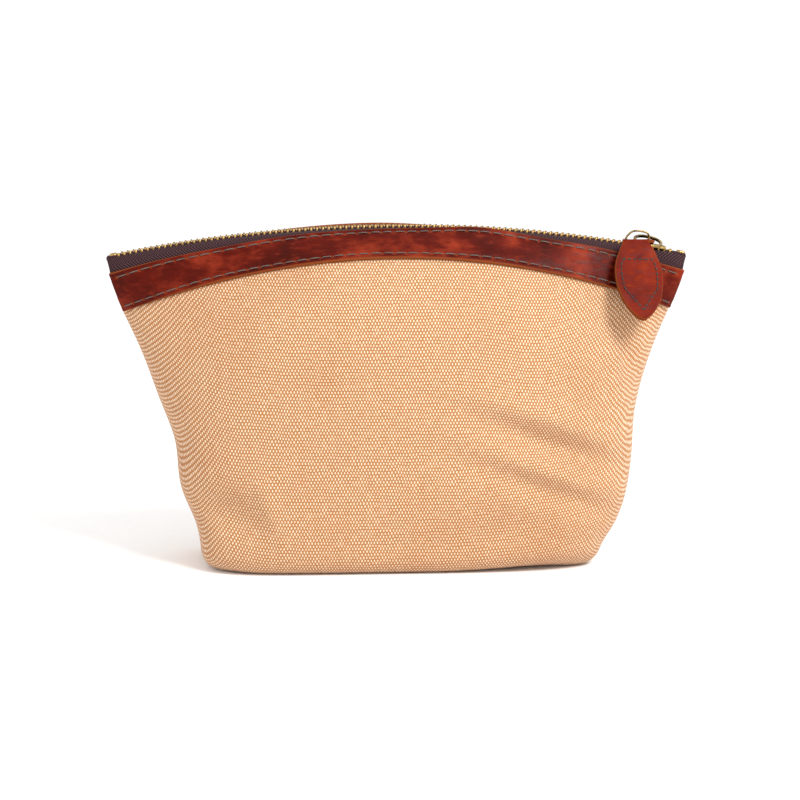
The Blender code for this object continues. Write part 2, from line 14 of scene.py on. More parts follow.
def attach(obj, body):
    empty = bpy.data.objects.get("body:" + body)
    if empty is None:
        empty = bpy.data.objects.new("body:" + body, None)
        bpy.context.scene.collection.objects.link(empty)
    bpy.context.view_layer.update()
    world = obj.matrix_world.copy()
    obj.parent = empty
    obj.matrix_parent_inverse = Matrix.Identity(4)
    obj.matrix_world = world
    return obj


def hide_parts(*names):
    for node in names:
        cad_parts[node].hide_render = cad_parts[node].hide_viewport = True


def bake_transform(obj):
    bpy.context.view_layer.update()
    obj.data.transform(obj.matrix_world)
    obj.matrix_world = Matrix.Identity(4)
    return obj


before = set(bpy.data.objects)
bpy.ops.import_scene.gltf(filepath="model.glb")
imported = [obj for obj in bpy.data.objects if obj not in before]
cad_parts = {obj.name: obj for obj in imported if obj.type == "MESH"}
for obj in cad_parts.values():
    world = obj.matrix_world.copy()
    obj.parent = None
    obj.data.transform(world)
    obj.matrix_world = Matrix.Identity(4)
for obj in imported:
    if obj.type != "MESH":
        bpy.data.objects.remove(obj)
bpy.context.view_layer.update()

LOG = logging.getLogger("pouch")

MM = 0.001
Array = np.ndarray

# The wall's row coordinate is 0 at the seam under the base. The tape turns level half way
# between the band's lip and the bead.
BASE_EDGE = 1.0
BAND_FOOT = 2.0
BAND_LIP = 3.0
BEAD_LINE = 5.0

THREAD_UNEVENNESS = 0.05
PULLER_THREAD_UNEVENNESS = 0.06
TOOTH_UNEVENNESS = 0.03


class Side(Enum):
    """Which half of the pouch a piece is on."""

    FRONT = -1
    BACK = 1


class Half(Enum):
    """Which part of the way across a piece covers. The back pieces are cut at the middle."""

    WHOLE = (0.0, 1.0)
    LEFT = (0.0, 0.5)
    RIGHT = (0.5, 1.0)


# ---------------------------------------------------------------- small sums


def mix(a: Any, b: Any, share: Any) -> Any:
    """Return the value a share of the way from a to b."""
    return a + (b - a) * share


def ease(value: Any, start: float, end: float) -> Any:
    """Return a smooth rise from 0 at start to 1 at end."""
    share = np.clip((value - start) / (end - start), 0, 1)
    return share * share * (3 - 2 * share)


def hump(value: Any, centre: float, reach: float) -> Any:
    """Return a bell of height 1 at centre that has died away two reaches from it."""
    return np.exp(-(((value - centre) / reach) ** 2))


def smooth_curve(points: tuple[tuple[float, float], ...], place: Any) -> Any:
    """Read a smooth curve through a few points.

    Args:
        points: (place, value) pairs in rising order of place.
        place: where to read, a number or an array.

    Returns:
        The value or values there.
    """
    places, values = np.array(points, float).T
    slopes = np.gradient(values, places)
    i = np.clip(np.searchsorted(places, place) - 1, 0, len(places) - 2)
    width = places[i + 1] - places[i]
    t = (np.clip(place, places[0], places[-1]) - places[i]) / width
    start = values[i] * (1 + 2 * t) * (1 - t) ** 2 + slopes[i] * width * t * (1 - t) ** 2
    end = values[i + 1] * t * t * (3 - 2 * t) + slopes[i + 1] * width * t * t * (t - 1)
    return start + end


def walked(points: Array) -> Array:
    """Return the distance walked along a line of points, starting at 0."""
    steps = np.linalg.norm(np.diff(points, axis=0), axis=1)
    return np.concatenate(((0,), np.cumsum(steps)))


# ---------------------------------------------------------------- meshes


@dataclass
class Solid:
    """A closed mesh while it is put together: its points, faces and what each point carries."""

    points: list[Array] = field(default_factory=list)
    faces: list[tuple[int, ...]] = field(default_factory=list)
    uv: list[Array] = field(default_factory=list)
    marks: dict[str, list[Array]] = field(default_factory=dict)
    count: int = 0

    def add_sweep(
        self,
        sections: Array,
        closed: bool = False,
        uv: Array | None = None,
        marks: dict[str, Array] | None = None,
    ) -> None:
        """Add a tube through rings of points, with its ends capped.

        Args:
            sections: points of shape (rings, points in a ring, 3). A ring has an even count.
            closed: whether the last ring joins the first.
            uv: pairs of shape (rings, points in a ring, 2).
            marks: named values of shape (rings, points in a ring).
        """
        rings, around = sections.shape[:2]
        steps = rings if closed else rings - 1
        index = self.count + np.arange(rings * around).reshape(rings, around)
        here = index[:steps]
        ahead = np.roll(index, -1, axis=0)[:steps]
        quads = np.stack((here, np.roll(here, -1, 1), np.roll(ahead, -1, 1), ahead), -1).reshape(-1, 4)
        if not closed:
            caps = []
            for ring, turn in ((index[0], 1), (index[-1], -1)):
                for i in range(around // 2 - 1):
                    cap = (ring[i + 1], ring[i], ring[around - 1 - i], ring[around - 2 - i])
                    caps.append(cap[::turn])
            quads = np.concatenate((quads, np.array(caps)))
        flat = sections.reshape(-1, 3)
        corners = flat[quads - self.count]
        volume = np.einsum("ij,ij->i", corners[:, 0], np.cross(corners[:, 1], corners[:, 2])).sum()
        volume += np.einsum("ij,ij->i", corners[:, 0], np.cross(corners[:, 2], corners[:, 3])).sum()
        if volume < 0:
            quads = quads[:, ::-1]
        self.faces += [tuple(face) for face in quads.tolist()]
        self.points.append(flat)
        self.uv.append(np.zeros((len(flat), 2)) if uv is None else uv.reshape(-1, 2))
        for name, values in (marks or {}).items():
            self.marks.setdefault(name, []).append(values.reshape(-1))
        self.count += len(flat)

    def object(self, name: str, finish: bpy.types.Material, place: Matrix | None = None) -> bpy.types.Object:
        """Turn the solid into a smooth-shaded object in its final place.

        Args:
            name: the piece's name.
            finish: its material.
            place: what turns the solid's own coordinates into the pouch's.

        Returns:
            The new object, at the origin.
        """
        mesh = bpy.data.meshes.new(name)
        mesh.from_pydata(np.concatenate(self.points).tolist(), [], self.faces)
        corner_points = np.zeros(len(mesh.loops), int)
        mesh.loops.foreach_get("vertex_index", corner_points)
        layer = mesh.uv_layers.new(name="cloth")
        layer.data.foreach_set("uv", np.concatenate(self.uv)[corner_points].reshape(-1))
        for mark, values in self.marks.items():
            attribute = mesh.attributes.new(mark, "FLOAT", "POINT")
            attribute.data.foreach_set("value", np.concatenate(values).astype(np.float32))
        if place is not None:
            mesh.transform(place)
        mesh.polygons.foreach_set("use_smooth", [True] * len(mesh.polygons))
        mesh.materials.append(finish)
        mesh.update()
        piece = bpy.data.objects.new(name, mesh)
        bpy.context.scene.collection.objects.link(piece)
        return piece


def ring_section(half_width: float, half_height: float, count: int, power: float = 4.0) -> Array:
    """Return a rounded rectangle as (count, 2) points: a high power makes its corners tight."""
    turn = (np.arange(count) + 0.5) * 2 * math.pi / count
    across = np.sign(np.cos(turn)) * np.abs(np.cos(turn)) ** (2 / power)
    up = np.sign(np.sin(turn)) * np.abs(np.sin(turn)) ** (2 / power)
    return np.stack((across * half_width, up * half_height), -1)


def sharpen(piece: bpy.types.Object, degrees: float = 40.0) -> bpy.types.Object:
    """Shade edges that turn more than some degrees as sharp, and return the piece."""
    piece.data.set_sharp_from_angle(angle=math.radians(degrees))
    return piece


# ---------------------------------------------------------------- finishes


def linear(colour: str) -> tuple[float, float, float, float]:
    """Turn an sRGB hex colour into linear values with full alpha."""
    parts = [int(colour[i : i + 2], 16) / 255 for i in (1, 3, 5)]
    values = [c / 12.92 if c <= 0.04045 else ((c + 0.055) / 1.055) ** 2.4 for c in parts]
    return (values[0], values[1], values[2], 1.0)


def add_node(
    tree: bpy.types.NodeTree, kind: str, inputs: dict[Any, Any] | None = None, **settings: Any
) -> bpy.types.Node:
    """Add one node, with its settings, values and links.

    Args:
        tree: the tree it goes in.
        kind: the node's type name.
        inputs: socket name or number to a value, or to the socket that feeds it.
        **settings: the node's own properties.

    Returns:
        The node.
    """
    node = tree.nodes.new(kind)
    for name, value in settings.items():
        setattr(node, name, value)
    for socket, value in (inputs or {}).items():
        if isinstance(value, bpy.types.NodeSocket):
            tree.links.new(value, node.inputs[socket])
        else:
            node.inputs[socket].default_value = value
    return node


def math_node(tree: bpy.types.NodeTree, operation: str, *values: Any) -> bpy.types.NodeSocket:
    """Add one sum to a tree and return its result."""
    node = add_node(tree, "ShaderNodeMath", dict(enumerate(values)), operation=operation)
    return node.outputs[0]


def blend_colours(tree: bpy.types.NodeTree, share: Any, first: Any, second: Any, how: str = "MIX") -> Any:
    """Add a colour mix to a tree and return its result."""
    first, second = (linear(c) if isinstance(c, str) else c for c in (first, second))
    node = add_node(tree, "ShaderNodeMix", {0: share, 6: first, 7: second}, data_type="RGBA", blend_type=how)
    return node.outputs[2]


def ramp(tree: bpy.types.NodeTree, value: Any, stops: tuple[tuple[float, str], ...]) -> Any:
    """Add a colour ramp with hex stops and return its colour."""
    node = add_node(tree, "ShaderNodeValToRGB", {0: value})
    elements = node.color_ramp.elements
    while len(elements) < len(stops):
        elements.new(0.5)
    for element, (place, colour) in zip(elements, stops):
        element.position = place
        element.color = linear(colour)
    return node.outputs[0]


def span(
    tree: bpy.types.NodeTree, value: Any, low: float, high: float, to_low: float = 0, to_high: float = 1
) -> Any:
    """Add a clamped, eased change of range and return its result."""
    values = {0: value, 1: low, 2: high, 3: to_low, 4: to_high}
    return add_node(tree, "ShaderNodeMapRange", values, interpolation_type="SMOOTHSTEP").outputs[0]


def speckle(
    tree: bpy.types.NodeTree, where: Any, size: float, detail: float = 2.0, stretch: Vector | None = None
) -> Any:
    """Add a noise whose blotches are about the given size in metres and return its value."""
    if stretch is not None:
        where = add_node(tree, "ShaderNodeMapping", {0: where, 3: stretch}).outputs[0]
    noise = add_node(tree, "ShaderNodeTexNoise", {"Vector": where, "Scale": 1 / size, "Detail": detail})
    return noise.outputs["Fac"]


def new_finish(name: str) -> tuple[bpy.types.Material, bpy.types.NodeTree, bpy.types.Node, Any]:
    """Start a material.

    Args:
        name: the finish's name.

    Returns:
        The material, its tree, its shader and the object coordinates.
    """
    material = bpy.data.materials.new(name)
    material.use_nodes = True
    tree = material.node_tree
    shader = tree.nodes["Principled BSDF"]
    where = add_node(tree, "ShaderNodeTexCoord").outputs["Object"]
    return material, tree, shader, where


def set_bump(tree: bpy.types.NodeTree, shader: bpy.types.Node, height: Any, depth: float) -> None:
    """Give a shader a bump from a height between 0 and 1 and its real depth in metres."""
    bump = add_node(tree, "ShaderNodeBump", {"Height": height, "Distance": depth, "Strength": 1.0})
    tree.links.new(bump.outputs[0], shader.inputs["Normal"])


@dataclass(frozen=True)
class CanvasFinish:
    """Cotton duck, doubled yarns in a plain weave, undyed warp over a honey weft.

    It gives the eye rows of cream nubs, each with painted orange-brown shade in the gap under it, and no
    gloss.
    """

    name: str = "cotton_canvas"
    nub: str = "#e3c8ab"
    yarn: str = "#c89f7a"
    # painted shade for the gaps between the cells and the rows of the weave
    recess: str = "#ad7746"
    gap_shade: str = "#783e18"
    stain: str = "#d9a87c"
    pitch: float = 1.31 * MM
    row: float = 1.31 * MM
    depth: float = 0.22 * MM

    def build(self) -> bpy.types.Material:
        """Build the material, which reads the piece's own cloth map in metres."""
        material, tree, shader, where = new_finish(self.name)
        cloth = add_node(tree, "ShaderNodeUVMap", uv_map="cloth").outputs[0]
        drift = speckle(tree, cloth, 9 * MM, 2)
        drift = math_node(tree, "MULTIPLY", math_node(tree, "SUBTRACT", drift, 0.5), 1.4 * MM)
        split = add_node(tree, "ShaderNodeSeparateXYZ", {0: cloth})
        along = math_node(tree, "ADD", split.outputs[0], drift)
        up = math_node(tree, "ADD", split.outputs[1], math_node(tree, "MULTIPLY", drift, 0.8))
        across_wave = math_node(tree, "SINE", math_node(tree, "MULTIPLY", along, 2 * math.pi / self.pitch))
        up_wave = math_node(tree, "SINE", math_node(tree, "MULTIPLY", up, math.pi / self.row))
        weave = math_node(tree, "MULTIPLY", across_wave, up_wave)
        slub = speckle(tree, cloth, 1.1 * MM, 3, Vector((0.35, 1.0, 1.0)))
        uneven = math_node(tree, "MULTIPLY", math_node(tree, "SUBTRACT", slub, 0.5), 0.9)
        weave = math_node(tree, "ADD", weave, uneven)
        level = math_node(tree, "ADD", math_node(tree, "MULTIPLY", weave, 0.5), 0.5)
        # The dark stop between the two yarn colours is painted shade in the gaps between the cells of the
        # weave.
        stops = ((0.0, self.recess), (0.38, self.recess), (0.5, self.gap_shade), (0.6, self.yarn), (0.8, self.nub))
        colour = ramp(tree, level, stops)
        # Painted shade: the gaps between the rows of the weave are darkened towards the orange-brown shade
        # colour.
        row_gap_shade = span(tree, math_node(tree, "ABSOLUTE", up_wave), 0.0, 0.34, 1, 0)
        colour = blend_colours(tree, math_node(tree, "MULTIPLY", row_gap_shade, 0.35), colour, self.gap_shade)
        patch = span(tree, speckle(tree, where, 45 * MM, 3), 0.45, 0.8, 0, 0.22)
        colour = blend_colours(tree, patch, colour, self.stain, "MULTIPLY")
        tree.links.new(colour, shader.inputs["Base Color"])
        shader.inputs["Roughness"].default_value = 0.92
        shader.inputs["Specular IOR Level"].default_value = 0.2
        shader.inputs["Sheen Weight"].default_value = 0.12
        shader.inputs["Sheen Roughness"].default_value = 0.6
        fuzz = math_node(tree, "MULTIPLY", speckle(tree, cloth, 0.3 * MM, 2), 0.25)
        set_bump(tree, shader, math_node(tree, "ADD", level, fuzz), self.depth)
        return material


@dataclass(frozen=True)
class LeatherFinish:
    """Vegetable-tanned cow leather, dyed chestnut and waxed by hand.

    It gives the eye a cloudy red-brown, almost no gloss, fine pores and a dark brown raw edge, partly the cut
    edge's own colour and partly painted shade along the band's lower edge.
    """

    name: str
    deep: str
    middle: str
    worn: str
    # the raw edge's own brown, darkened to stand in for the shade along the band's lower edge
    raw: str = "#7a3c1a"
    # painted shade inside the needle holes
    hole: str = "#2a0d06"
    pore: float = 0.55 * MM
    roughness: float = 0.42

    def build(self) -> bpy.types.Material:
        """Build the material, which reads the marks for raw edges and needle holes."""
        material, tree, shader, where = new_finish(self.name)
        cloud = speckle(tree, where, 14 * MM, 4)
        scuff = speckle(tree, where, 2.6 * MM, 5, Vector((0.5, 1.0, 1.6)))
        fleck = speckle(tree, where, 0.5 * MM, 3)
        colour = ramp(tree, cloud, ((0.3, self.deep), (0.52, self.middle), (0.72, self.worn)))
        colour = blend_colours(tree, span(tree, scuff, 0.5, 0.75, 0, 0.45), colour, self.worn)
        colour = blend_colours(tree, span(tree, scuff, 0.46, 0.28, 0, 0.5), colour, self.deep)
        colour = blend_colours(tree, span(tree, fleck, 0.58, 0.72, 0, 0.3), colour, self.deep)
        # The raw edges take a dark brown: partly the leather's own cut edge, partly painted shade along the
        # band's lower edge.
        raw = add_node(tree, "ShaderNodeAttribute", attribute_name="raw").outputs["Fac"]
        colour = blend_colours(tree, raw, colour, self.raw)
        # Each needle hole is ringed by a paler brown, and the hole itself is painted shade, near black.
        hole = add_node(tree, "ShaderNodeAttribute", attribute_name="hole").outputs["Fac"]
        colour = blend_colours(tree, span(tree, hole, 0.1, 0.45, 0, 0.6), colour, "#94401a")
        colour = blend_colours(tree, span(tree, hole, 0.45, 0.8), colour, self.hole)
        # Painted shade in the crease under the puller's fold, and a darker patch at its lower left, both
        # broken up by the scuff noise.
        smudge = add_node(tree, "ShaderNodeAttribute", attribute_name="smudge").outputs["Fac"]
        patchy = math_node(tree, "MULTIPLY", smudge, span(tree, scuff, 0.4, 0.6, 0.45, 1.0))
        colour = blend_colours(tree, patchy, colour, "#2b0c14")
        tree.links.new(colour, shader.inputs["Base Color"])
        rough = span(tree, scuff, 0.3, 0.7, self.roughness - 0.08, self.roughness + 0.14)
        rough = math_node(tree, "ADD", rough, math_node(tree, "MULTIPLY", raw, 0.35))
        tree.links.new(rough, shader.inputs["Roughness"])
        shader.inputs["Specular IOR Level"].default_value = 0.08
        cells = add_node(tree, "ShaderNodeTexVoronoi", {"Vector": where, "Scale": 1 / self.pore})
        grain = math_node(tree, "MULTIPLY", cells.outputs["Distance"], 0.5)
        grain = math_node(tree, "ADD", grain, math_node(tree, "MULTIPLY", scuff, 1.2))
        set_bump(tree, shader, grain, 0.09 * MM)
        return material


@dataclass(frozen=True)
class TapeFinish:
    """Polyester zip tape, woven in a herringbone of fine slanting ribs, dyed dark plum.

    It gives the eye slanting ribs that change direction half way up, with painted shade in the grooves
    between them, and no gleam.
    """

    name: str = "zip_tape"
    rib: str = "#4e3034"
    # painted shade: the near-black colour of the grooves between the ribs
    groove_shade: str = "#0f0608"
    pitch: float = 1.3 * MM
    pick_pitch: float = 0.6 * MM
    band: float = 3.6 * MM

    def build(self) -> bpy.types.Material:
        """Build the material, which reads the piece's own cloth map in metres."""
        material, tree, shader, where = new_finish(self.name)
        cloth = add_node(tree, "ShaderNodeUVMap", uv_map="cloth").outputs[0]
        split = add_node(tree, "ShaderNodeSeparateXYZ", {0: cloth})
        fold = math_node(tree, "PINGPONG", split.outputs[1], self.band)
        slant = math_node(tree, "ADD", split.outputs[0], math_node(tree, "MULTIPLY", fold, 1.1))
        wave = math_node(tree, "SINE", math_node(tree, "MULTIPLY", slant, 2 * math.pi / self.pitch))
        turns = 2 * math.pi / self.pick_pitch
        pick = math_node(tree, "SINE", math_node(tree, "MULTIPLY", split.outputs[1], turns))
        level = math_node(tree, "ADD", math_node(tree, "MULTIPLY", wave, 0.4), 0.5)
        level = math_node(tree, "ADD", level, math_node(tree, "MULTIPLY", pick, 0.1))
        fuzz = math_node(tree, "SUBTRACT", speckle(tree, where, 0.5 * MM, 3), 0.5)
        level = math_node(tree, "ADD", level, math_node(tree, "MULTIPLY", fuzz, 0.5))
        # Painted shade: the ramp runs from near black in the grooves up to the plum of the ribs.
        colour = ramp(tree, level, ((0.15, self.groove_shade), (0.5, "#311a1e"), (0.9, self.rib)))
        tree.links.new(colour, shader.inputs["Base Color"])
        shader.inputs["Roughness"].default_value = 0.72
        shader.inputs["Specular IOR Level"].default_value = 0.2
        set_bump(tree, shader, level, 0.16 * MM)
        return material


@dataclass(frozen=True)
class ThreadFinish:
    """Bonded polyester sewing thread of three twisted plies, taupe, a little dusty with wax."""

    name: str
    light: str
    dark: str
    ply: float = 1.9 * MM

    def build(self) -> bpy.types.Material:
        """Build the material with the slanting marks of the plies, painted as shade in the grooves between
        them.
        """
        material, tree, shader, where = new_finish(self.name)
        turned = add_node(tree, "ShaderNodeMapping", {0: where, 2: (0, math.radians(38), 0)}).outputs[0]
        values = {"Vector": turned, "Scale": 1 / self.ply, "Distortion": 1.5}
        wave = add_node(tree, "ShaderNodeTexWave", values)
        level = wave.outputs["Fac"]
        mottle = speckle(tree, where, 1.2 * MM, 2)
        # Painted shade: the grooves between the plies take the dark colour, the tops of the plies the light
        # one.
        colour = ramp(tree, level, ((0.1, self.dark), (0.75, self.light)))
        colour = blend_colours(tree, span(tree, mottle, 0.45, 0.7, 0, 0.5), colour, self.dark)
        tree.links.new(colour, shader.inputs["Base Color"])
        shader.inputs["Roughness"].default_value = 0.6
        set_bump(tree, shader, level, 0.08 * MM)
        return material


@dataclass(frozen=True)
class BrassFinish:
    """Cast and tumbled brass, darkened to an antique finish and rubbed bright where it is touched."""

    name: str
    bright: str
    middle: str
    dark: str
    worn_from: float
    roughness: float = 0.34

    def build(self) -> bpy.types.Material:
        """Build the material: dark in the hollows, worn bright on the crests."""
        material, tree, shader, where = new_finish(self.name)
        patina = speckle(tree, where, 2.2 * MM, 4)
        grit = speckle(tree, where, 0.35 * MM, 3)
        crest = add_node(tree, "ShaderNodeNewGeometry").outputs["Pointiness"]
        worn = math_node(tree, "ADD", span(tree, crest, 0.49, 0.56), math_node(tree, "SUBTRACT", patina, 0.5))
        stops = ((self.worn_from - 0.4, self.dark), (self.worn_from, self.middle), (0.95, self.bright))
        colour = ramp(tree, worn, stops)
        colour = blend_colours(tree, span(tree, grit, 0.56, 0.74, 0, 0.55), colour, self.dark)
        tree.links.new(colour, shader.inputs["Base Color"])
        shader.inputs["Metallic"].default_value = 1.0
        rough = span(tree, patina, 0.3, 0.7, self.roughness - 0.1, self.roughness + 0.16)
        tree.links.new(rough, shader.inputs["Roughness"])
        set_bump(tree, shader, grit, 0.04 * MM)
        return material


@dataclass(frozen=True)
class CottonFinish:
    """Thin plain-woven cotton sheeting, washed soft, as lining and as folded seam tape."""

    name: str
    light: str
    dark: str
    thread: float = 0.5 * MM

    def build(self) -> bpy.types.Material:
        """Build the material. The threads are drawn twice as coarse as real, so that they show."""
        material, tree, shader, where = new_finish(self.name)
        split = add_node(tree, "ShaderNodeSeparateXYZ", {0: where})
        turns = 2 * math.pi / self.thread
        across, up = (math_node(tree, "MULTIPLY", split.outputs[i], turns) for i in (0, 2))
        waves = [math_node(tree, "SINE", place) for place in (across, up)]
        crossed = math_node(tree, "MULTIPLY", *waves)
        level = math_node(tree, "ADD", math_node(tree, "MULTIPLY", crossed, 0.4), 0.5)
        crumple = speckle(tree, where, 11 * MM, 4)
        colour = blend_colours(tree, level, self.dark, self.light)
        colour = blend_colours(tree, span(tree, crumple, 0.35, 0.7, 0, 0.3), colour, self.dark)
        tree.links.new(colour, shader.inputs["Base Color"])
        shader.inputs["Roughness"].default_value = 0.9
        height = math_node(tree, "ADD", level, math_node(tree, "MULTIPLY", crumple, 6.0))
        set_bump(tree, shader, height, 0.1 * MM)
        return material


# ---------------------------------------------------------------- copies along a path


class PathCopies:
    """A Geometry Nodes tree that sets copies of one shape along a path, square to the surface."""

    SEED = 7

    def __init__(self) -> None:
        """Build the tree once. It is used for every run of stitches and teeth."""
        self.tree = bpy.data.node_groups.new("copies_along_a_path", "GeometryNodeTree")
        self.sockets: dict[str, str] = {}
        wanted = (
            ("Path", "NodeSocketGeometry"),
            ("Count", "NodeSocketInt"),
            ("Unevenness", "NodeSocketFloat"),
            ("Shape", "NodeSocketObject"),
            ("Finish", "NodeSocketMaterial"),
        )
        for name, kind in wanted:
            item = self.tree.interface.new_socket(name=name, in_out="INPUT", socket_type=kind)
            self.sockets[name] = item.identifier
        self.tree.interface.new_socket(name="Pieces", in_out="OUTPUT", socket_type="NodeSocketGeometry")
        tree = self.tree
        start = add_node(tree, "NodeGroupInput").outputs
        curve = add_node(tree, "GeometryNodeMeshToCurve", {0: start["Path"]}).outputs[0]
        values = {"Curve": curve, "Count": start["Count"]}
        even = add_node(tree, "GeometryNodeResampleCurve", values, mode="COUNT")
        along = add_node(tree, "GeometryNodeInputTangent").outputs[0]
        values = {"Name": "outward"}
        outward = add_node(tree, "GeometryNodeInputNamedAttribute", values, data_type="FLOAT_VECTOR")
        axes = {"Primary Axis": along, "Secondary Axis": outward.outputs["Attribute"]}
        turn = add_node(tree, "FunctionNodeAxesToRotation", axes, primary_axis="X", secondary_axis="Z")
        low = math_node(tree, "SUBTRACT", 1.0, start["Unevenness"])
        high = math_node(tree, "ADD", 1.0, start["Unevenness"])
        values = {2: low, 3: high, "Seed": self.SEED}
        size = add_node(tree, "FunctionNodeRandomValue", values, data_type="FLOAT")
        shape = add_node(tree, "GeometryNodeObjectInfo", {"Object": start["Shape"]}).outputs["Geometry"]
        values = {"Points": even.outputs[0], "Instance": shape}
        values |= {"Rotation": turn.outputs[0], "Scale": size.outputs[1]}
        copies = add_node(tree, "GeometryNodeInstanceOnPoints", values).outputs[0]
        real = add_node(tree, "GeometryNodeRealizeInstances", {0: copies}).outputs[0]
        values = {"Geometry": real, "Material": start["Finish"]}
        done = add_node(tree, "GeometryNodeSetMaterial", values).outputs[0]
        add_node(tree, "NodeGroupOutput", {"Pieces": done})

    def make(
        self,
        name: str,
        path: Array,
        outward: Array,
        count: int,
        shape: Solid,
        finish: bpy.types.Material,
        unevenness: float,
    ) -> bpy.types.Object:
        """Set copies along a path and return them as one plain mesh.

        Args:
            name: the piece's name.
            path: points of shape (n, 3).
            outward: the way out of the surface at each point.
            count: how many copies, the first and last at the path's ends.
            shape: one copy, along X with Z outward.
            finish: its material.
            unevenness: how much the copies differ in size, as a share.

        Returns:
            The new object, at the origin.
        """
        sample = shape.object("sample", finish)
        line = bpy.data.meshes.new(name)
        line.from_pydata(path.tolist(), [(i, i + 1) for i in range(len(path) - 1)], [])
        attribute = line.attributes.new("outward", "FLOAT_VECTOR", "POINT")
        attribute.data.foreach_set("vector", outward.reshape(-1))
        piece = bpy.data.objects.new(name, line)
        bpy.context.scene.collection.objects.link(piece)
        modifier = piece.modifiers.new("copies", "NODES")
        modifier.node_group = self.tree
        values = {"Count": count, "Unevenness": unevenness, "Shape": sample, "Finish": finish}
        for socket, value in values.items():
            modifier[self.sockets[socket]] = value
        evaluated = piece.evaluated_get(bpy.context.evaluated_depsgraph_get())
        plain = bpy.data.meshes.new_from_object(evaluated)
        piece.modifiers.remove(modifier)
        plain.name = name
        piece.data = plain
        plain.polygons.foreach_set("use_smooth", [True] * len(plain.polygons))
        bpy.data.meshes.remove(line)
        bpy.data.objects.remove(sample)
        return piece


# ---------------------------------------------------------------- the pouch's form


@dataclass(frozen=True)
class Dent:
    """A soft hollow, or a fold where depth is negative, in a wall of the pouch."""

    x: float
    z: float
    long: float
    short: float
    lean: float
    depth: float

    def push(self, x: Array, z: Array) -> Array:
        """Return how far the wall goes in at each place."""
        c, s = math.cos(math.radians(self.lean)), math.sin(math.radians(self.lean))
        along = (x / MM - self.x) * c + (z / MM - self.z) * s
        across = -(x / MM - self.x) * s + (z / MM - self.z) * c
        return self.depth * MM * np.exp(-((along / self.long) ** 2) - (across / self.short) ** 2)


FRONT_DENTS = (
    Dent(-72, 26, 15, 9, -20, 5.0),
    Dent(-56, 27, 4.5, 13, 18, -1.6),
    Dent(-92, 50, 5, 16, 24, 1.8),
    Dent(90, 108, 6, 10, 0, 2.2),
    Dent(64, 55, 34, 6, -22, 5.0),
    Dent(60, 66, 34, 6, -16, -2.2),
    Dent(62, 35, 34, 5.5, -22, 3.8),
    Dent(58, 44, 30, 5, -20, -1.8),
    Dent(42, 20, 16, 8, 0, 1.4),
    Dent(100, 86, 5, 15, 24, 2.6),
    Dent(-10, 88, 52, 22, 6, -1.3),
    Dent(-35, 40, 30, 16, -30, 0.9),
    Dent(10, 14, 34, 7, 4, 0.8),
)
BACK_DENTS = (
    Dent(60, 30, 17, 9, 18, 3.0),
    Dent(-66, 46, 30, 6, 20, 3.0),
    Dent(-60, 58, 28, 6, 16, -1.4),
    Dent(-88, 88, 6, 15, -22, 2.2),
    Dent(86, 62, 6, 16, -20, 1.8),
    Dent(8, 84, 50, 20, -5, -1.2),
    Dent(-20, 22, 24, 8, -8, 1.2),
)


@dataclass(frozen=True)
class PouchForm:
    """The sizes that give the pouch its form, the same as the frame's."""

    base_half_length: float = 85 * MM
    seam_half_length: float = 118 * MM
    belly_half_depth: float = 37 * MM
    base_edge_radius: float = 7 * MM
    shoulder_height: float = 109.5 * MM
    shoulder_crown: float = 23.7 * MM
    shoulder_half_depth: float = 22 * MM
    left_side: tuple = ((0, 0), (0.16, 0.08), (0.30, 0.27), (0.5, 0.36), (0.66, 0.55), (0.86, 0.79), (1, 1))
    right_side: tuple = ((0, 0), (0.08, 0.10), (0.17, 0.30), (0.30, 0.44), (0.62, 0.56), (0.86, 0.80), (1, 1))
    depth_share: tuple = ((0, 0.88), (0.12, 0.97), (0.35, 1), (0.6, 0.93), (0.85, 0.61), (1, 0))
    base_squareness: float = 5.0
    mouth_squareness: float = 2.0
    band_width: float = 17 * MM
    band_end_half_length: float = 124.3 * MM
    band_top_height: float = 144.2 * MM
    band_top_crown: float = 18.2 * MM
    band_top_half_depth: float = 9 * MM
    band_end_half_depth: float = 6.2 * MM
    band_end: float = 0.35 / 22
    gap: float = 0.3 * MM
    chain_height: float = 145 * MM
    chain_half_chord: float = 124 * MM
    chain_sag: float = 12.5 * MM
    bead_edge: float = 2.6 * MM
    tape_bend: float = 5.9 * MM
    slider_x: float = 106.3 * MM
    slider_length: float = 18 * MM

    @property
    def chain_radius(self) -> float:
        """The radius of the arc that the zip follows."""
        return (self.chain_half_chord**2 + self.chain_sag**2) / (2 * self.chain_sag)

    @property
    def chain_centre(self) -> float:
        """The height of that arc's centre."""
        return self.chain_height - self.chain_radius

    def chain_z(self, x: Array) -> Array:
        """Return the height of the zip at places along it."""
        return self.chain_centre + np.sqrt(self.chain_radius**2 - x**2)


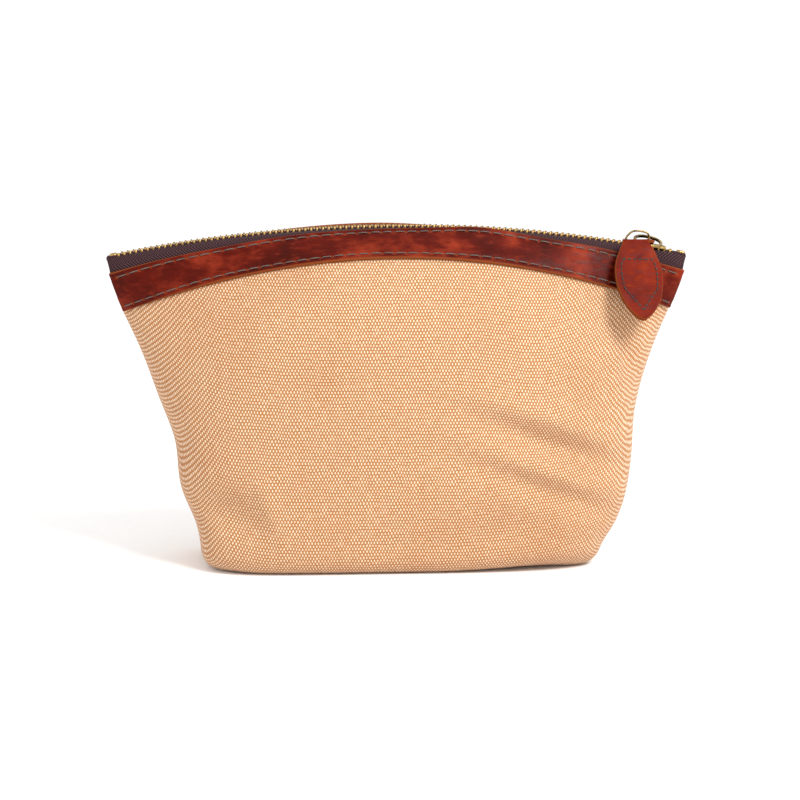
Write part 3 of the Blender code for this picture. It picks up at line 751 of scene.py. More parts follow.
class Wall:
    """One side of the pouch as a fine grid of points, from the seam under its base to the zip."""

    def __init__(self, form: PouchForm, side: Side, shares: Array, dents: tuple[Dent, ...] = ()) -> None:
        """Lay out the grid.

        Args:
            form: the pouch's sizes.
            side: front or back.
            shares: places across, 0 at the left side seam, 0.5 in the middle, 1 at the right one.
            dents: the hollows and folds pressed into it.
        """
        self.form = form
        self.side = side
        self.shares = shares
        self.dents = dents
        bottom = np.array((0, 0.3, 0.6, 0.8, 0.92))
        wall = np.concatenate((np.linspace(0, 0.07, 8)[:-1], np.linspace(0.07, 1, 84)))
        band = np.linspace(0, 1, 25)[1:]
        tape = np.linspace(0, 2, 17)[1:]
        self.places = np.concatenate((bottom, BASE_EDGE + wall, BAND_FOOT + band, BAND_LIP + tape))
        shoulder = self.wall_outline(1.0)
        self.across = shoulder[0] / form.seam_half_length
        self.shoulder = np.stack(
            (*shoulder, form.shoulder_height + form.shoulder_crown * (1 - self.across**2)), -1
        )
        rows = [self.bottom_row(s) for s in bottom]
        rows += [self.wall_row(h) for h in wall]
        rows += [self.band_row(s) for s in band]
        rows += [self.tape_row(s) for s in tape]
        grid = self.press(np.array(rows))
        across, up = np.gradient(grid, axis=1), np.gradient(grid, axis=0)
        normals = np.cross(across, up)
        self.grid = grid
        self.normals = normals / np.linalg.norm(normals, axis=2, keepdims=True)

    def outline(self, left: float, right: float, depth: float, squareness: float) -> tuple[Array, Array]:
        """Return the front half of a squared oval at this wall's places across."""
        turn = np.linspace(-math.pi / 2, math.pi / 2, 721)
        power = 2 / squareness
        x = np.sign(np.sin(turn)) * np.abs(np.sin(turn)) ** power
        x = np.where(x < 0, x * left, x * right)
        y = -depth * np.abs(np.cos(turn)) ** power
        distance = walked(np.stack((x, y), -1))
        middle, total = distance[360], distance[-1]
        s = self.shares
        at = np.where(s < 0.5, 2 * s * middle, middle + (2 * s - 1) * (total - middle))
        return np.interp(at, distance, x), np.interp(at, distance, y)

    def wall_outline(self, height: float) -> tuple[Array, Array]:
        """Return the outline at a share of the height from base to bands."""
        f = self.form
        growth = f.seam_half_length - f.base_half_length
        left = f.base_half_length + growth * smooth_curve(f.left_side, height)
        right = f.base_half_length + growth * smooth_curve(f.right_side, height)
        depth = mix(f.shoulder_half_depth, f.belly_half_depth, smooth_curve(f.depth_share, height))
        drop = max(0.0, f.base_edge_radius - height * f.shoulder_height)
        inset = f.base_edge_radius - math.sqrt(f.base_edge_radius**2 - drop**2)
        square = mix(f.base_squareness, f.mouth_squareness, height**0.7)
        return self.outline(left - inset, right - inset, depth - inset, square)

    def wall_row(self, height: float) -> Array:
        """Return the row of points at a share of the height from base to bands."""
        x, y = self.wall_outline(height)
        return np.stack((x, y, mix(-self.form.gap / 2, self.shoulder[:, 2], height)), -1)

    def bottom_row(self, share: float) -> Array:
        """Return a row under the base, from its middle seam at 0 to its edge at 1."""
        foot = self.wall_row(0.0)
        seam = foot * (0.8, 0, 1)
        return seam + (foot - seam) * share

    def pinch(self, x: Array) -> Array:
        """Return how much the lips close in beyond the parked slider."""
        clear = self.form.slider_x + self.form.slider_length / 2 + 3 * MM
        return 1 - 0.25 * ease(np.abs(x), clear, clear + 7 * MM)

    def lift(self, x: Array) -> Array:
        """Return how much a band's lip rises above its even line."""
        u = x / MM
        if self.side is Side.FRONT:
            return MM * (1.9 * hump(u, 35, 19) + 0.5 * hump(u, 85, 16) - 0.5 * hump(u, -75, 26))
        return MM * (1.3 * np.exp(-(((u + 36) / 44) ** 4)) + 1.0 * hump(u, 83, 13) - 0.3 * hump(u, 36, 16))

    def lip_row(self) -> Array:
        """Return the upper edge of the band."""
        f = self.form
        x = self.across * f.band_end_half_length
        depth = mix(f.band_top_half_depth, f.band_end_half_depth, self.across**2) * self.pinch(x)
        z = f.band_top_height - f.band_top_crown * self.across**2 + self.lift(x)
        return np.stack((x, -depth, z), -1)

    def band_row(self, share: float) -> Array:
        """Return a row of the band, 0 at its foot and 1 at its lip."""
        foot, lip = self.shoulder, self.lip_row()
        row = foot + (lip - foot) * share
        swell = 0.5 * MM * math.sin(math.pi * share)
        row[:, 1] -= swell * np.sin(row[:, 0] / MM * 0.11 + 0.6)
        return row

    def tape_row(self, share: float) -> Array:
        """Return a row of the tape over the lip: 0 at the lip, 1 where it turns level, 2 at the bead."""
        f = self.form
        x = self.across * (f.band_end_half_length + 1.5 * MM)
        depth = f.tape_bend * self.pinch(x)
        turn = np.stack((x, -depth, f.chain_z(x)), -1)
        bead = np.stack((x, np.full_like(x, -f.bead_edge - f.gap), f.chain_z(x)), -1)
        if share > 1:
            return turn + (bead - turn) * (share - 1)
        lip = self.lip_row()
        row = lip + (turn - lip) * share
        row[:, 2] += 0.5 * MM * math.sin(math.pi * share)
        return row

    def press(self, grid: Array) -> Array:
        """Press the dents into the walls and lift the base's front edge where it doesn't touch down."""
        x, z = grid[..., 0], grid[..., 2]
        rows = self.places[:, None]
        below = 1 - ease(rows, BAND_FOOT - 0.12, BAND_FOOT)
        above = ease(rows, BASE_EDGE, BASE_EDGE + 0.12)
        ends = ease(self.shares, 0, 0.06) * (1 - ease(self.shares, 0.94, 1))
        push = sum((d.push(x, z) for d in self.dents), np.zeros_like(x))
        grid[..., 1] += push * below * above * ends
        if self.side is Side.FRONT and self.dents:
            edge = ease(-grid[..., 1], 18 * MM, 31 * MM) * np.exp(-z / (16 * MM)) * (rows < BAND_FOOT)
            grid[..., 2] += 3.6 * MM * edge * ease(x, 14 * MM, 80 * MM)
            grid[..., 2] += 1.2 * MM * edge * ease(-x, 60 * MM, 82 * MM)
        return grid

    def row(self, place: float, offset: Any) -> Array:
        """Return one row at a place up the wall, moved outward from it.

        Args:
            place: the row coordinate, such as BAND_FOOT.
            offset: how far out, one number or one for each place across.

        Returns:
            Points of shape (places across, 3), on the side this wall stands for.
        """
        i = int(np.clip(np.searchsorted(self.places, place) - 1, 0, len(self.places) - 2))
        share = (place - self.places[i]) / (self.places[i + 1] - self.places[i])
        point = mix(self.grid[i], self.grid[i + 1], share)
        normal = mix(self.normals[i], self.normals[i + 1], share)
        return point + normal * np.reshape(offset, (-1, 1))

    def shell(self, outer: list[tuple[float, Any]], inner: list[tuple[float, Any]], keep_off: float) -> Array:
        """Return the rings of a layer that has an outer and an inner face.

        Args:
            outer: (place, offset) from its lower edge to its upper edge.
            inner: the same for its inner face, as many of them.
            keep_off: how far it stays from the plane of the side seams.

        Returns:
            Rings of shape (places across, points round, 3), for Solid.add_sweep.
        """
        rows = [self.row(p, o) for p, o in outer + inner[::-1]]
        rings = np.stack(rows, 1)
        rings[..., 1] = np.minimum(rings[..., 1], -keep_off)
        rings[..., 1] *= -self.side.value
        return rings

    def cloth_map(self, rings: Array, faces: int) -> Array:
        """Return a flat map of the outer face in metres, the same for the inner one."""
        outer = rings[:, :faces]
        step = np.diff(outer, axis=0)
        middle = int(np.argmin(np.abs(self.shares - 0.5)))
        width = np.linalg.norm(step[..., :2] * (1, 0.12), axis=2)
        along = np.concatenate((np.zeros((1, faces)), np.cumsum(width, axis=0)))
        along -= along[middle]
        climb = np.linalg.norm(np.diff(outer, axis=1)[..., 1:], axis=2)
        up = np.concatenate((np.zeros((len(outer), 1)), np.cumsum(climb, axis=1)), 1)
        flat = np.stack((along, up), -1)
        return np.concatenate((flat, flat[:, ::-1]), 1)


def shares_across(count: int, half: Half, end: float = 0.0) -> Array:
    """Return places across one half or the whole of a side, keeping off its ends."""
    low, high = half.value
    full = 1 if half is Half.WHOLE else 0.5
    return np.linspace(max(low, end), min(high, 1 - end), int(count * full) + 1)


def rounded_edges(
    low: float, high: float, inside: float, outside: float, faces: int, width: float
) -> tuple[list, list, list]:
    """Return the (place, offset) pairs of a strip whose outer edges are rounded.

    Args:
        low: place of its lower edge.
        high: place of its upper edge.
        inside: offset of the inner face.
        outside: offset of the outer face.
        faces: how many rows its outer face has.
        width: the strip's real width, for the size of the corners.

    Returns:
        The outer pairs, the inner pairs, and how raw each outer pair is.
    """
    radius = 0.5 * (outside - inside)
    reach = radius / width * (high - low)
    corner = [(1 - math.cos(a), math.sin(a)) for a in np.radians((0, 25, 50, 75))]
    start = [(low + reach * c, outside - radius + radius * s) for c, s in corner]
    end = [(high - reach * c, outside - radius + radius * s) for c, s in corner[::-1]]
    flat = [(p, outside) for p in np.linspace(low + reach, high - reach, faces)]
    outer = start + flat + end
    inner = [(p, inside) for p in np.linspace(low, high, len(outer))]
    raw = [1.0, 1.0, 0.9, 0.3] + [0.0] * faces + [0.3, 0.9, 1.0, 1.0]
    return outer, inner, raw


# ---------------------------------------------------------------- what rides on what


def wear(piece: bpy.types.Object, body: str, slot: str, *nodes: str) -> bpy.types.Object:
    """Let a piece ride on one body and stand for some frame nodes, which are hidden."""
    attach(piece, body)
    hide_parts(*nodes)
    LOG.info("%s rides on %s", piece.name, body)
    return piece


def wear_on_back(piece: bpy.types.Object, half: Half, slot: str, *nodes: str) -> bpy.types.Object:
    """Keep a back piece where it is made, on no body, and hide the frame nodes it stands for."""
    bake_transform(piece)
    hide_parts(*nodes)
    LOG.info("%s bends between pouch and back_lip", piece.name)
    return piece


@dataclass
class Finishes:
    """Every material of the pouch, built once."""

    canvas: bpy.types.Material
    lining: bpy.types.Material
    band: bpy.types.Material
    puller: bpy.types.Material
    tape: bpy.types.Material
    thread: bpy.types.Material
    puller_thread: bpy.types.Material
    teeth: bpy.types.Material
    fittings: bpy.types.Material


def build_finishes() -> Finishes:
    """Build all materials and return them."""
    teeth = BrassFinish("antique_brass_teeth", "#b5935a", "#57431f", "#1b140c", worn_from=0.66)
    fittings = BrassFinish(
        "antique_brass_fittings", "#a98c55", "#5f4c2a", "#1b140c", worn_from=0.7, roughness=0.3
    )
    return Finishes(
        canvas=CanvasFinish().build(),
        lining=CottonFinish("cotton_lining", "#a9876a", "#6f5340").build(),
        band=LeatherFinish("waxed_chestnut_leather", "#3a0701", "#500c01", "#802812").build(),
        puller=LeatherFinish("waxed_russet_leather", "#4c0b01", "#6b1603", "#88300c", roughness=0.55).build(),
        tape=TapeFinish().build(),
        thread=ThreadFinish("taupe_thread", "#6f5f54", "#362b26").build(),
        puller_thread=ThreadFinish("dark_thread", "#3a3230", "#17120f").build(),
        teeth=teeth.build(),
        fittings=fittings.build(),
    )


# ---------------------------------------------------------------- cloth


@dataclass
class ClothBody:
    """The canvas panels, their lining and the bound seams inside."""

    form: PouchForm
    finishes: Finishes
    canvas_outside: float = -0.15 * MM
    canvas_inside: float = -1.05 * MM
    lining_outside: float = -1.35 * MM
    lining_inside: float = -1.85 * MM
    under_band: float = 6 * MM
    across: int = 220
    binding_reach: float = 5 * MM
    binding_half: float = 1 * MM
    binding_depth: float = 3.2 * MM

    def places(self, rows: int) -> Array:
        """Return the rows of a panel, closer together round the base's edge."""
        edge = (0, 0.008, 0.02, 0.035, 0.05)
        wall = BASE_EDGE + np.concatenate((edge, np.linspace(0.07, 1, rows)))
        top = BAND_FOOT + np.array((0.5, 1.0)) * self.under_band / self.form.band_width
        return np.concatenate(((0, 0.5, 0.85), wall, top))

    def panel(
        self, name: str, side: Side, half: Half, layer: tuple[float, float], rows: int, finish: Any
    ) -> bpy.types.Object:
        """Make one panel as a closed layer between two offsets and return it."""
        dents = FRONT_DENTS if side is Side.FRONT else BACK_DENTS
        count = self.across if rows > 50 else self.across // 2
        wall = Wall(self.form, side, shares_across(count, half), dents)
        places = self.places(rows)
        outer, inner = ([(place, offset) for place in places] for offset in layer)
        rings = wall.shell(outer, inner, self.form.gap / 2)
        solid = Solid()
        solid.add_sweep(rings, uv=wall.cloth_map(rings, len(places)))
        return sharpen(solid.object(name, finish), 60)

    def make_panels(self) -> None:
        """Make the front panels whole and the back ones in two halves."""
        outer = (self.canvas_outside, self.canvas_inside)
        inner = (self.lining_outside, self.lining_inside)
        f = self.finishes
        for kind, slot, layer, rows, finish in (
            ("canvas", "canvas", outer, 68, f.canvas),
            ("lining", "lining", inner, 34, f.lining),
        ):
            front = self.panel(f"{kind}_front", Side.FRONT, Half.WHOLE, layer, rows, finish)
            wear(front, "pouch", slot, f"{kind}_front_panel")
            for half in (Half.LEFT, Half.RIGHT):
                back = self.panel(f"{kind}_back_{half.name.lower()}", Side.BACK, half, layer, rows, finish)
                wear_on_back(back, half, slot, f"{kind}_back_panel")

    def make_bindings(self) -> None:
        """Make the folded tapes that cover the seams inside."""
        wall = Wall(self.form, Side.FRONT, shares_across(60, Half.WHOLE))
        for word, column, end in (("left", 0, -1), ("right", -1, 1)):
            rings = []
            for height in np.linspace(0.04, 0.985, 40):
                x, _, z = wall.row(BASE_EDGE + height, 0)[column]
                middle = x - end * (self.binding_depth + self.binding_reach / 2)
                section = ring_section(self.binding_reach / 2, self.binding_half, 14)
                rings.append([(middle + a, b, z) for a, b in section])
            solid = Solid()
            solid.add_sweep(np.array(rings))
            piece = solid.object(f"{word}_binding", self.finishes.lining)
            wear(piece, "pouch", "lining", f"{word}_seam_binding")
        half_length = 0.78 * self.form.base_half_length
        height = self.binding_depth + self.binding_reach / 2
        section = ring_section(self.binding_half, self.binding_reach / 2, 14)
        ends = np.linspace(-half_length, half_length, 24)
        solid = Solid()
        solid.add_sweep(np.array([[(x, a, height + b) for a, b in section] for x in ends]))
        wear(solid.object("bottom_binding", self.finishes.lining), "pouch", "lining", "bottom_seam_binding")


# ---------------------------------------------------------------- leather bands


@dataclass
class LeatherBands:
    """The two leather bands round the mouth, each sewn down with two rows of stitches."""

    form: PouchForm
    finishes: Finishes
    copies: PathCopies
    inside: float = 0.15 * MM
    outside: float = 1.55 * MM
    inset: float = 2.3 * MM
    pitch: float = 5.2 * MM
    margin: float = 1.0 * MM
    across: int = 500
    thread: float = 0.27 * MM

    def stitch_places(self) -> tuple[float, float]:
        """Return where the two rows of stitches run, as row coordinates."""
        share = self.inset / self.form.band_width
        return BAND_FOOT + share, BAND_LIP - share

    def first_hole(self, length: float, half: Half) -> tuple[float, int]:
        """Return where the first needle hole is along a row and how many stitches follow it."""
        ends = self.margin * (2 if half is Half.WHOLE else 1)
        count = int((length - ends) / self.pitch)
        rest = length - count * self.pitch
        start = {Half.WHOLE: rest / 2, Half.LEFT: rest, Half.RIGHT: 0.0}[half]
        return start, count

    def holes(self, wall: Wall, place: float, half: Half) -> Array:
        """Return how close each place across is to a needle hole, from 0 to 1."""
        s = walked(wall.row(place, self.outside))
        start, _ = self.first_hole(s[-1], half)
        steps = (s - start) / self.pitch
        return np.exp(-(((steps - np.round(steps)) * self.pitch / (0.42 * MM)) ** 2))

    def make_band(self, side: Side, half: Half, name: str, node: str) -> None:
        """Make one band, or half of one, with its stitches.

        Args:
            side: front or back.
            half: how much of it.
            name: what the pieces' names begin with.
            node: what the frame's node names begin with.
        """
        form = self.form
        wall = Wall(form, side, shares_across(self.across, half, form.band_end))
        outer, inner, raw = rounded_edges(BAND_FOOT, BAND_LIP, self.inside, self.outside, 30, form.band_width)
        rows = [(place, self.holes(wall, place, half)) for place in self.stitch_places()]
        relief, marks = [], []
        for place, offset in outer:
            rise = (place - BAND_FOOT) * form.band_width
            sink = np.zeros(len(wall.shares))
            mark = np.zeros(len(wall.shares))
            for row, closeness in rows:
                away = rise - (row - BAND_FOOT) * form.band_width
                sink += 0.16 * MM * hump(away, 0, 0.9 * MM) + 0.32 * MM * closeness * hump(away, 0, 0.55 * MM)
                mark += closeness * hump(away, -0.1 * MM, 0.55 * MM)
            relief.append((place, offset - sink))
            marks.append(mark)
        rings = wall.shell(relief, inner, 0.5 * MM)
        blank = np.zeros((len(wall.shares), len(inner)))
        solid = Solid()
        values = {
            "raw": np.concatenate((np.tile(raw, (len(wall.shares), 1)), blank + 1.0), 1),
            "hole": np.concatenate((np.stack(marks, 1), blank), 1),
            "smudge": np.zeros((len(wall.shares), len(outer) + len(inner))),
        }
        solid.add_sweep(rings, uv=wall.cloth_map(rings, len(outer)), marks=values)
        band = sharpen(solid.object(f"{name}_band", self.finishes.band), 50)
        self.attach(band, side, half, "leather", f"{node}_band")
        for word, place in zip(("lower", "upper"), self.stitch_places()):
            thread = self.make_stitches(wall, place, half, f"{name}_{word}_stitches")
            self.attach(thread, side, half, "thread", f"{node}_band_{word}_thread")

    def attach(self, piece: bpy.types.Object, side: Side, half: Half, slot: str, node: str) -> None:
        """Let a front piece ride on the pouch, and keep a back piece where it is made."""
        if side is Side.FRONT:
            wear(piece, "pouch", slot, node)
        else:
            wear_on_back(piece, half, slot, node)

    def make_stitches(self, wall: Wall, place: float, half: Half, name: str) -> bpy.types.Object:
        """Make one row of stitches and return it."""
        line = wall.row(place, self.outside + 0.02 * MM)
        out = wall.row(place, self.outside + 1 * MM) - line
        line = line * (1, -wall.side.value, 1)
        out = out * (1, -wall.side.value, 1)
        s = walked(line)
        start, count = self.first_hole(s[-1], half)
        at = np.linspace(start + self.pitch / 2, start + (count - 0.5) * self.pitch, 400)
        line = np.stack([np.interp(at, s, line[:, i]) for i in range(3)], -1)
        out = np.stack([np.interp(at, s, out[:, i]) for i in range(3)], -1)
        shape = stitch(self.pitch * 0.84, self.thread)
        finish = self.finishes.thread
        return self.copies.make(name, line, out, count, shape, finish, THREAD_UNEVENNESS)


def stitch(length: float, radius: float) -> Solid:
    """Return one stitch: a thread that comes up, lies along the leather and goes down again."""
    places = ((-0.5, 0.35, -1.5), (-0.44, 0.85, -0.7), (-0.3, 1.0, 0.15), (0, 1.05, 0.4))
    places += tuple((-x, r, z) for x, r, z in places[2::-1])
    section = ring_section(radius, radius, 6, 2)
    solid = Solid()
    rings = [[(x * length, a * r, b * r + z * radius) for a, b in section] for x, r, z in places]
    solid.add_sweep(np.array(rings))
    return solid


# ---------------------------------------------------------------- zip


@dataclass
class Zip:
    """The metal zip: two tapes with a bead each, two rows of teeth and the stops."""

    form: PouchForm
    finishes: Finishes
    copies: PathCopies
    pitch: float = 2.5 * MM
    tooth_width: float = 1.1 * MM
    teeth_left: float = -119.5 * MM
    teeth_right: float = 120.6 * MM
    tape_low: float = 7.9 * MM
    tape_outside: float = -0.15 * MM
    tape_inside: float = -0.75 * MM
    bead_radius: float = 0.8 * MM
    stop_length: float = 3 * MM
    across: int = 240

    def make_tape(self, side: Side, half: Half, name: str) -> bpy.types.Object:
        """Make one tape, or half of one, with the bead along its edge, and return it."""
        form = self.form
        wall = Wall(form, side, shares_across(self.across, half, form.band_end))
        low = BAND_FOOT + self.tape_low / form.band_width
        places = np.concatenate((np.linspace(low, BAND_LIP, 12), np.linspace(BAND_LIP, BEAD_LINE, 16)[1:]))
        outer = [(p, self.tape_outside) for p in places]
        inner = [(p, self.tape_inside) for p in places]
        rings = wall.shell(outer, inner, 0.5 * MM)
        solid = Solid()
        solid.add_sweep(rings, uv=wall.cloth_map(rings, len(outer)))
        line = wall.row(BEAD_LINE, 0.0) + (0, 0.5 * MM, -0.1 * MM)
        section = ring_section(self.bead_radius, self.bead_radius, 8, 2)
        bead = np.array([[(x, (y + a) * -side.value, z + b) for a, b in section] for x, y, z in line])
        flat = np.stack(np.broadcast_arrays(walked(line)[:, None], np.arange(8) * 0.6 * MM), -1)
        solid.add_sweep(bead, uv=flat)
        return sharpen(solid.object(name, self.finishes.tape), 60)

    def tooth(self, side: Side) -> Solid:
        """Return one tooth: two legs crimped round the bead, a neck and a cupped head."""
        stations = ((-3.35, 0.42, 0.9), (-3.1, 0.52, 1.28), (-1.75, 0.55, 1.32), (-1.15, 0.5, 0.85))
        stations += ((-0.5, 0.55, 1.0), (0.25, 0.52, 0.98), (0.6, 0.36, 0.55))
        rings = []
        for y, half_x, half_z in stations:
            section = ring_section(half_x * MM, half_z * MM, 8, 3.2)
            rings.append([(a, y * MM * -side.value, b) for a, b in section])
        solid = Solid()
        solid.add_sweep(np.array(rings))
        return solid

    def make_teeth(self, side: Side, half: Half, name: str) -> bpy.types.Object:
        """Make one row of teeth, or the half of it on one side of the middle, and return it."""
        radius = self.form.chain_radius
        step = self.pitch / radius
        first = math.asin(self.teeth_left / radius) + self.tooth_width / radius / 2
        first += step / 2 if side is Side.BACK else 0.0
        last = math.asin(self.teeth_right / radius) - step / 2
        turns = np.arange(first, last, step)
        keep = {Half.WHOLE: turns < 9, Half.LEFT: turns < 0, Half.RIGHT: turns >= 0}[half]
        turns = turns[keep]
        dense = np.linspace(turns[0], turns[-1], 1200)
        out = np.stack((np.sin(dense), np.zeros(1200), np.cos(dense)), -1)
        line = out * radius + (0, 0, self.form.chain_centre)
        tooth, finish = self.tooth(side), self.finishes.teeth
        return self.copies.make(name, line, out, len(turns), tooth, finish, TOOTH_UNEVENNESS)

    def make_stop(self, name: str, x: float, low: float, high: float) -> bpy.types.Object:
        """Make one crimped stop, square to the zip where it sits, and return it."""
        turn = math.asin(x / self.form.chain_radius)
        height = float(self.form.chain_z(np.array(x)))
        place = Matrix.Translation((x, 0, height)) @ Matrix.Rotation(turn, 4, "Y")
        middle, half_width = (low + high) / 2, (high - low) / 2
        rings = []
        start = ((-1, 0.72), (-0.86, 0.96), (-0.3, 1.0))
        end = tuple((-share, size) for share, size in start[::-1])
        for share, size in (*start, (0, 0.94), *end):
            section = ring_section(half_width * size, 1.45 * MM * size, 12, 5)
            rings.append([(share * self.stop_length / 2, middle + a, b) for a, b in section])
        solid = Solid()
        solid.add_sweep(np.array(rings))
        return solid.object(name, self.finishes.teeth, place)

    def make(self) -> None:
        """Make the whole zip but its slider."""
        wear(self.make_tape(Side.FRONT, Half.WHOLE, "front_tape"), "pouch", "tape", "front_zip_tape")
        wear(self.make_teeth(Side.FRONT, Half.WHOLE, "front_tooth_row"), "pouch", "brass", "front_teeth")
        for half in (Half.LEFT, Half.RIGHT):
            word = half.name.lower()
            tape = self.make_tape(Side.BACK, half, f"back_tape_{word}")
            wear_on_back(tape, half, "tape", "back_zip_tape")
            teeth = self.make_teeth(Side.BACK, half, f"back_tooth_row_{word}")
            wear_on_back(teeth, half, "brass", "back_teeth")
        top = self.teeth_right + self.form.gap + self.stop_length / 2
        bottom = self.teeth_left - self.form.gap - self.stop_length / 2
        near, far = 0.7 * MM, 2.7 * MM
        wear(self.make_stop("front_stop", top, -far, -near), "pouch", "brass", "front_top_stop")
        stop = self.make_stop("back_stop", top, near, far)
        wear_on_back(stop, Half.RIGHT, "brass", "back_top_stop")
        wear(self.make_stop("closed_end_stop", bottom, -far, far), "pouch", "brass", "bottom_stop")


# ---------------------------------------------------------------- slider, ring and puller


def soften(points: Array, rounds: int) -> Array:
    """Cut the corners of a line of points again and again and return the smooth line."""
    for _ in range(rounds):
        near = points[:-1] * 0.75 + points[1:] * 0.25
        far = points[:-1] * 0.25 + points[1:] * 0.75
        inside = np.stack((near, far), 1).reshape(-1, points.shape[1])
        points = np.concatenate((points[:1], inside[1:-1], points[-1:]))
    return points


@dataclass
class Slider:
    """The zip's slider: two plates with curled edges, the post between them and the bridge."""

    form: PouchForm
    finishes: Finishes
    length: float = 18 * MM
    half_width: float = 4.4 * MM
    tail_half_width: float = 3.0 * MM
    inner: float = 1.25 * MM
    plate: float = 0.7 * MM
    clearance: float = 0.15 * MM
    wire: float = 1.4 * MM
    ring_slope: float = math.radians(15)
    ring_lift: float = math.radians(58)
    bridge_half_width: float = 0.6 * MM
    bridge_thickness: float = 0.8 * MM
    bridge_left: float = -8 * MM
    bridge_right: float = 1.2 * MM
    bridge_clearance: float = 0.6 * MM

    @property
    def place(self) -> Matrix:
        """What turns the slider's own coordinates, on the arc of the zip, into the pouch's."""
        tilt = math.asin(self.form.slider_x / self.form.chain_radius)
        pivot = Matrix.Translation((0, 0, self.form.chain_centre)) @ Matrix.Rotation(tilt, 4, "Y")
        return pivot @ Matrix.Translation((0, 0, self.form.chain_radius))

    @property
    def ring_height(self) -> float:
        """How high over the zip the ring's hinge is."""
        edge = self.inner + self.plate + self.clearance + self.wire / 2 / math.cos(self.ring_slope)
        return edge + self.half_width * math.tan(self.ring_slope)

    def width_at(self, x: float) -> float:
        """Return the plates' half width: narrow where the closed chain comes out, round at the mouth."""
        half = self.length / 2
        narrow = mix(self.tail_half_width, self.half_width, ease(x, -half, -half * 0.35))
        return float(narrow - 0.5 * MM * ease(x, half * 0.75, half))

    def make_body(self) -> bpy.types.Object:
        """Make the plates, their curled edges and the post as one piece and return it."""
        solid = Solid()
        half = self.length / 2
        middle_part = np.linspace(-half + 0.5 * MM, half - 0.5 * MM, 16)
        start, end = (-half, -half + 0.15 * MM), (half - 0.15 * MM, half)
        stations = np.concatenate((start, middle_part, end))
        ends = np.minimum(1, 0.6 + 0.4 * (half - np.abs(stations)) / (0.3 * MM))
        for sign in (1, -1):
            middle = sign * (self.inner + self.plate / 2)
            rings = []
            for x, end in zip(stations, ends):
                section = ring_section(self.width_at(x) * (0.9 + 0.1 * end), self.plate / 2 * end, 16, 7)
                crown = 0.22 * MM * (1 - (section[:, 0] / self.half_width) ** 2) * (sign > 0)
                rings.append([(x, a, middle + b + c) for (a, b), c in zip(section, crown)])
            solid.add_sweep(np.array(rings))
            for way in (1, -1):
                rings = []
                for x, end in zip(stations, ends):
                    section = ring_section(0.38 * MM * end, 0.5 * MM * end, 8, 3)
                    y = way * (self.width_at(x) - 0.36 * MM)
                    rings.append([(x, y + a, sign * (self.inner - 0.18 * MM) + b) for a, b in section])
                solid.add_sweep(np.array(rings))
        rings = []
        for x, size in ((3.0, 0.15), (3.6, 0.8), (5, 1.0), (7.4, 1.0), (8, 0.6)):
            section = ring_section(0.45 * MM * size, self.inner + 0.3 * MM, 8, 5)
            rings.append([(x * MM, a, b) for a, b in section])
        solid.add_sweep(np.array(rings))
        return sharpen(solid.object("slider_plates", self.finishes.fittings, self.place), 50)

    def make_bridge(self) -> bpy.types.Object:
        """Make the arch that holds the ring and return it."""
        steepest = self.ring_lift - self.ring_slope
        rise = self.wire / 2 / math.cos(steepest) + math.tan(steepest) * self.bridge_half_width
        clear = self.ring_height + rise + self.bridge_clearance
        foot = self.inner + self.plate - 0.1 * MM
        left, right = self.bridge_left, self.bridge_right
        line = [(left, foot), (left + 0.4 * MM, foot + 1.6 * MM), (left + 2.2 * MM, clear - 0.5 * MM)]
        line += [(left + 4.4 * MM, clear), (right - 1.6 * MM, clear)]
        line += [(right, clear - 0.8 * MM), (right, foot)]
        path = soften(np.array(line), 3)
        ahead = np.gradient(path, axis=0)
        ahead /= np.linalg.norm(ahead, axis=1, keepdims=True)
        section = ring_section(self.bridge_half_width, self.bridge_thickness / 2, 12, 4)
        rings = []
        for (x, z), (dx, dz) in zip(path, ahead):
            lift = self.bridge_thickness / 2
            rings.append([(x - dz * (lift + b), a, z + dx * (lift + b)) for a, b in section])
        solid = Solid()
        solid.add_sweep(np.array(rings))
        return solid.object("slider_arch", self.finishes.fittings, self.place)

    def make(self) -> None:
        """Make the slider's two pieces."""
        wear(self.make_body(), "slider", "brass", "slider_body")
        wear(self.make_bridge(), "slider", "brass", "slider_bridge")


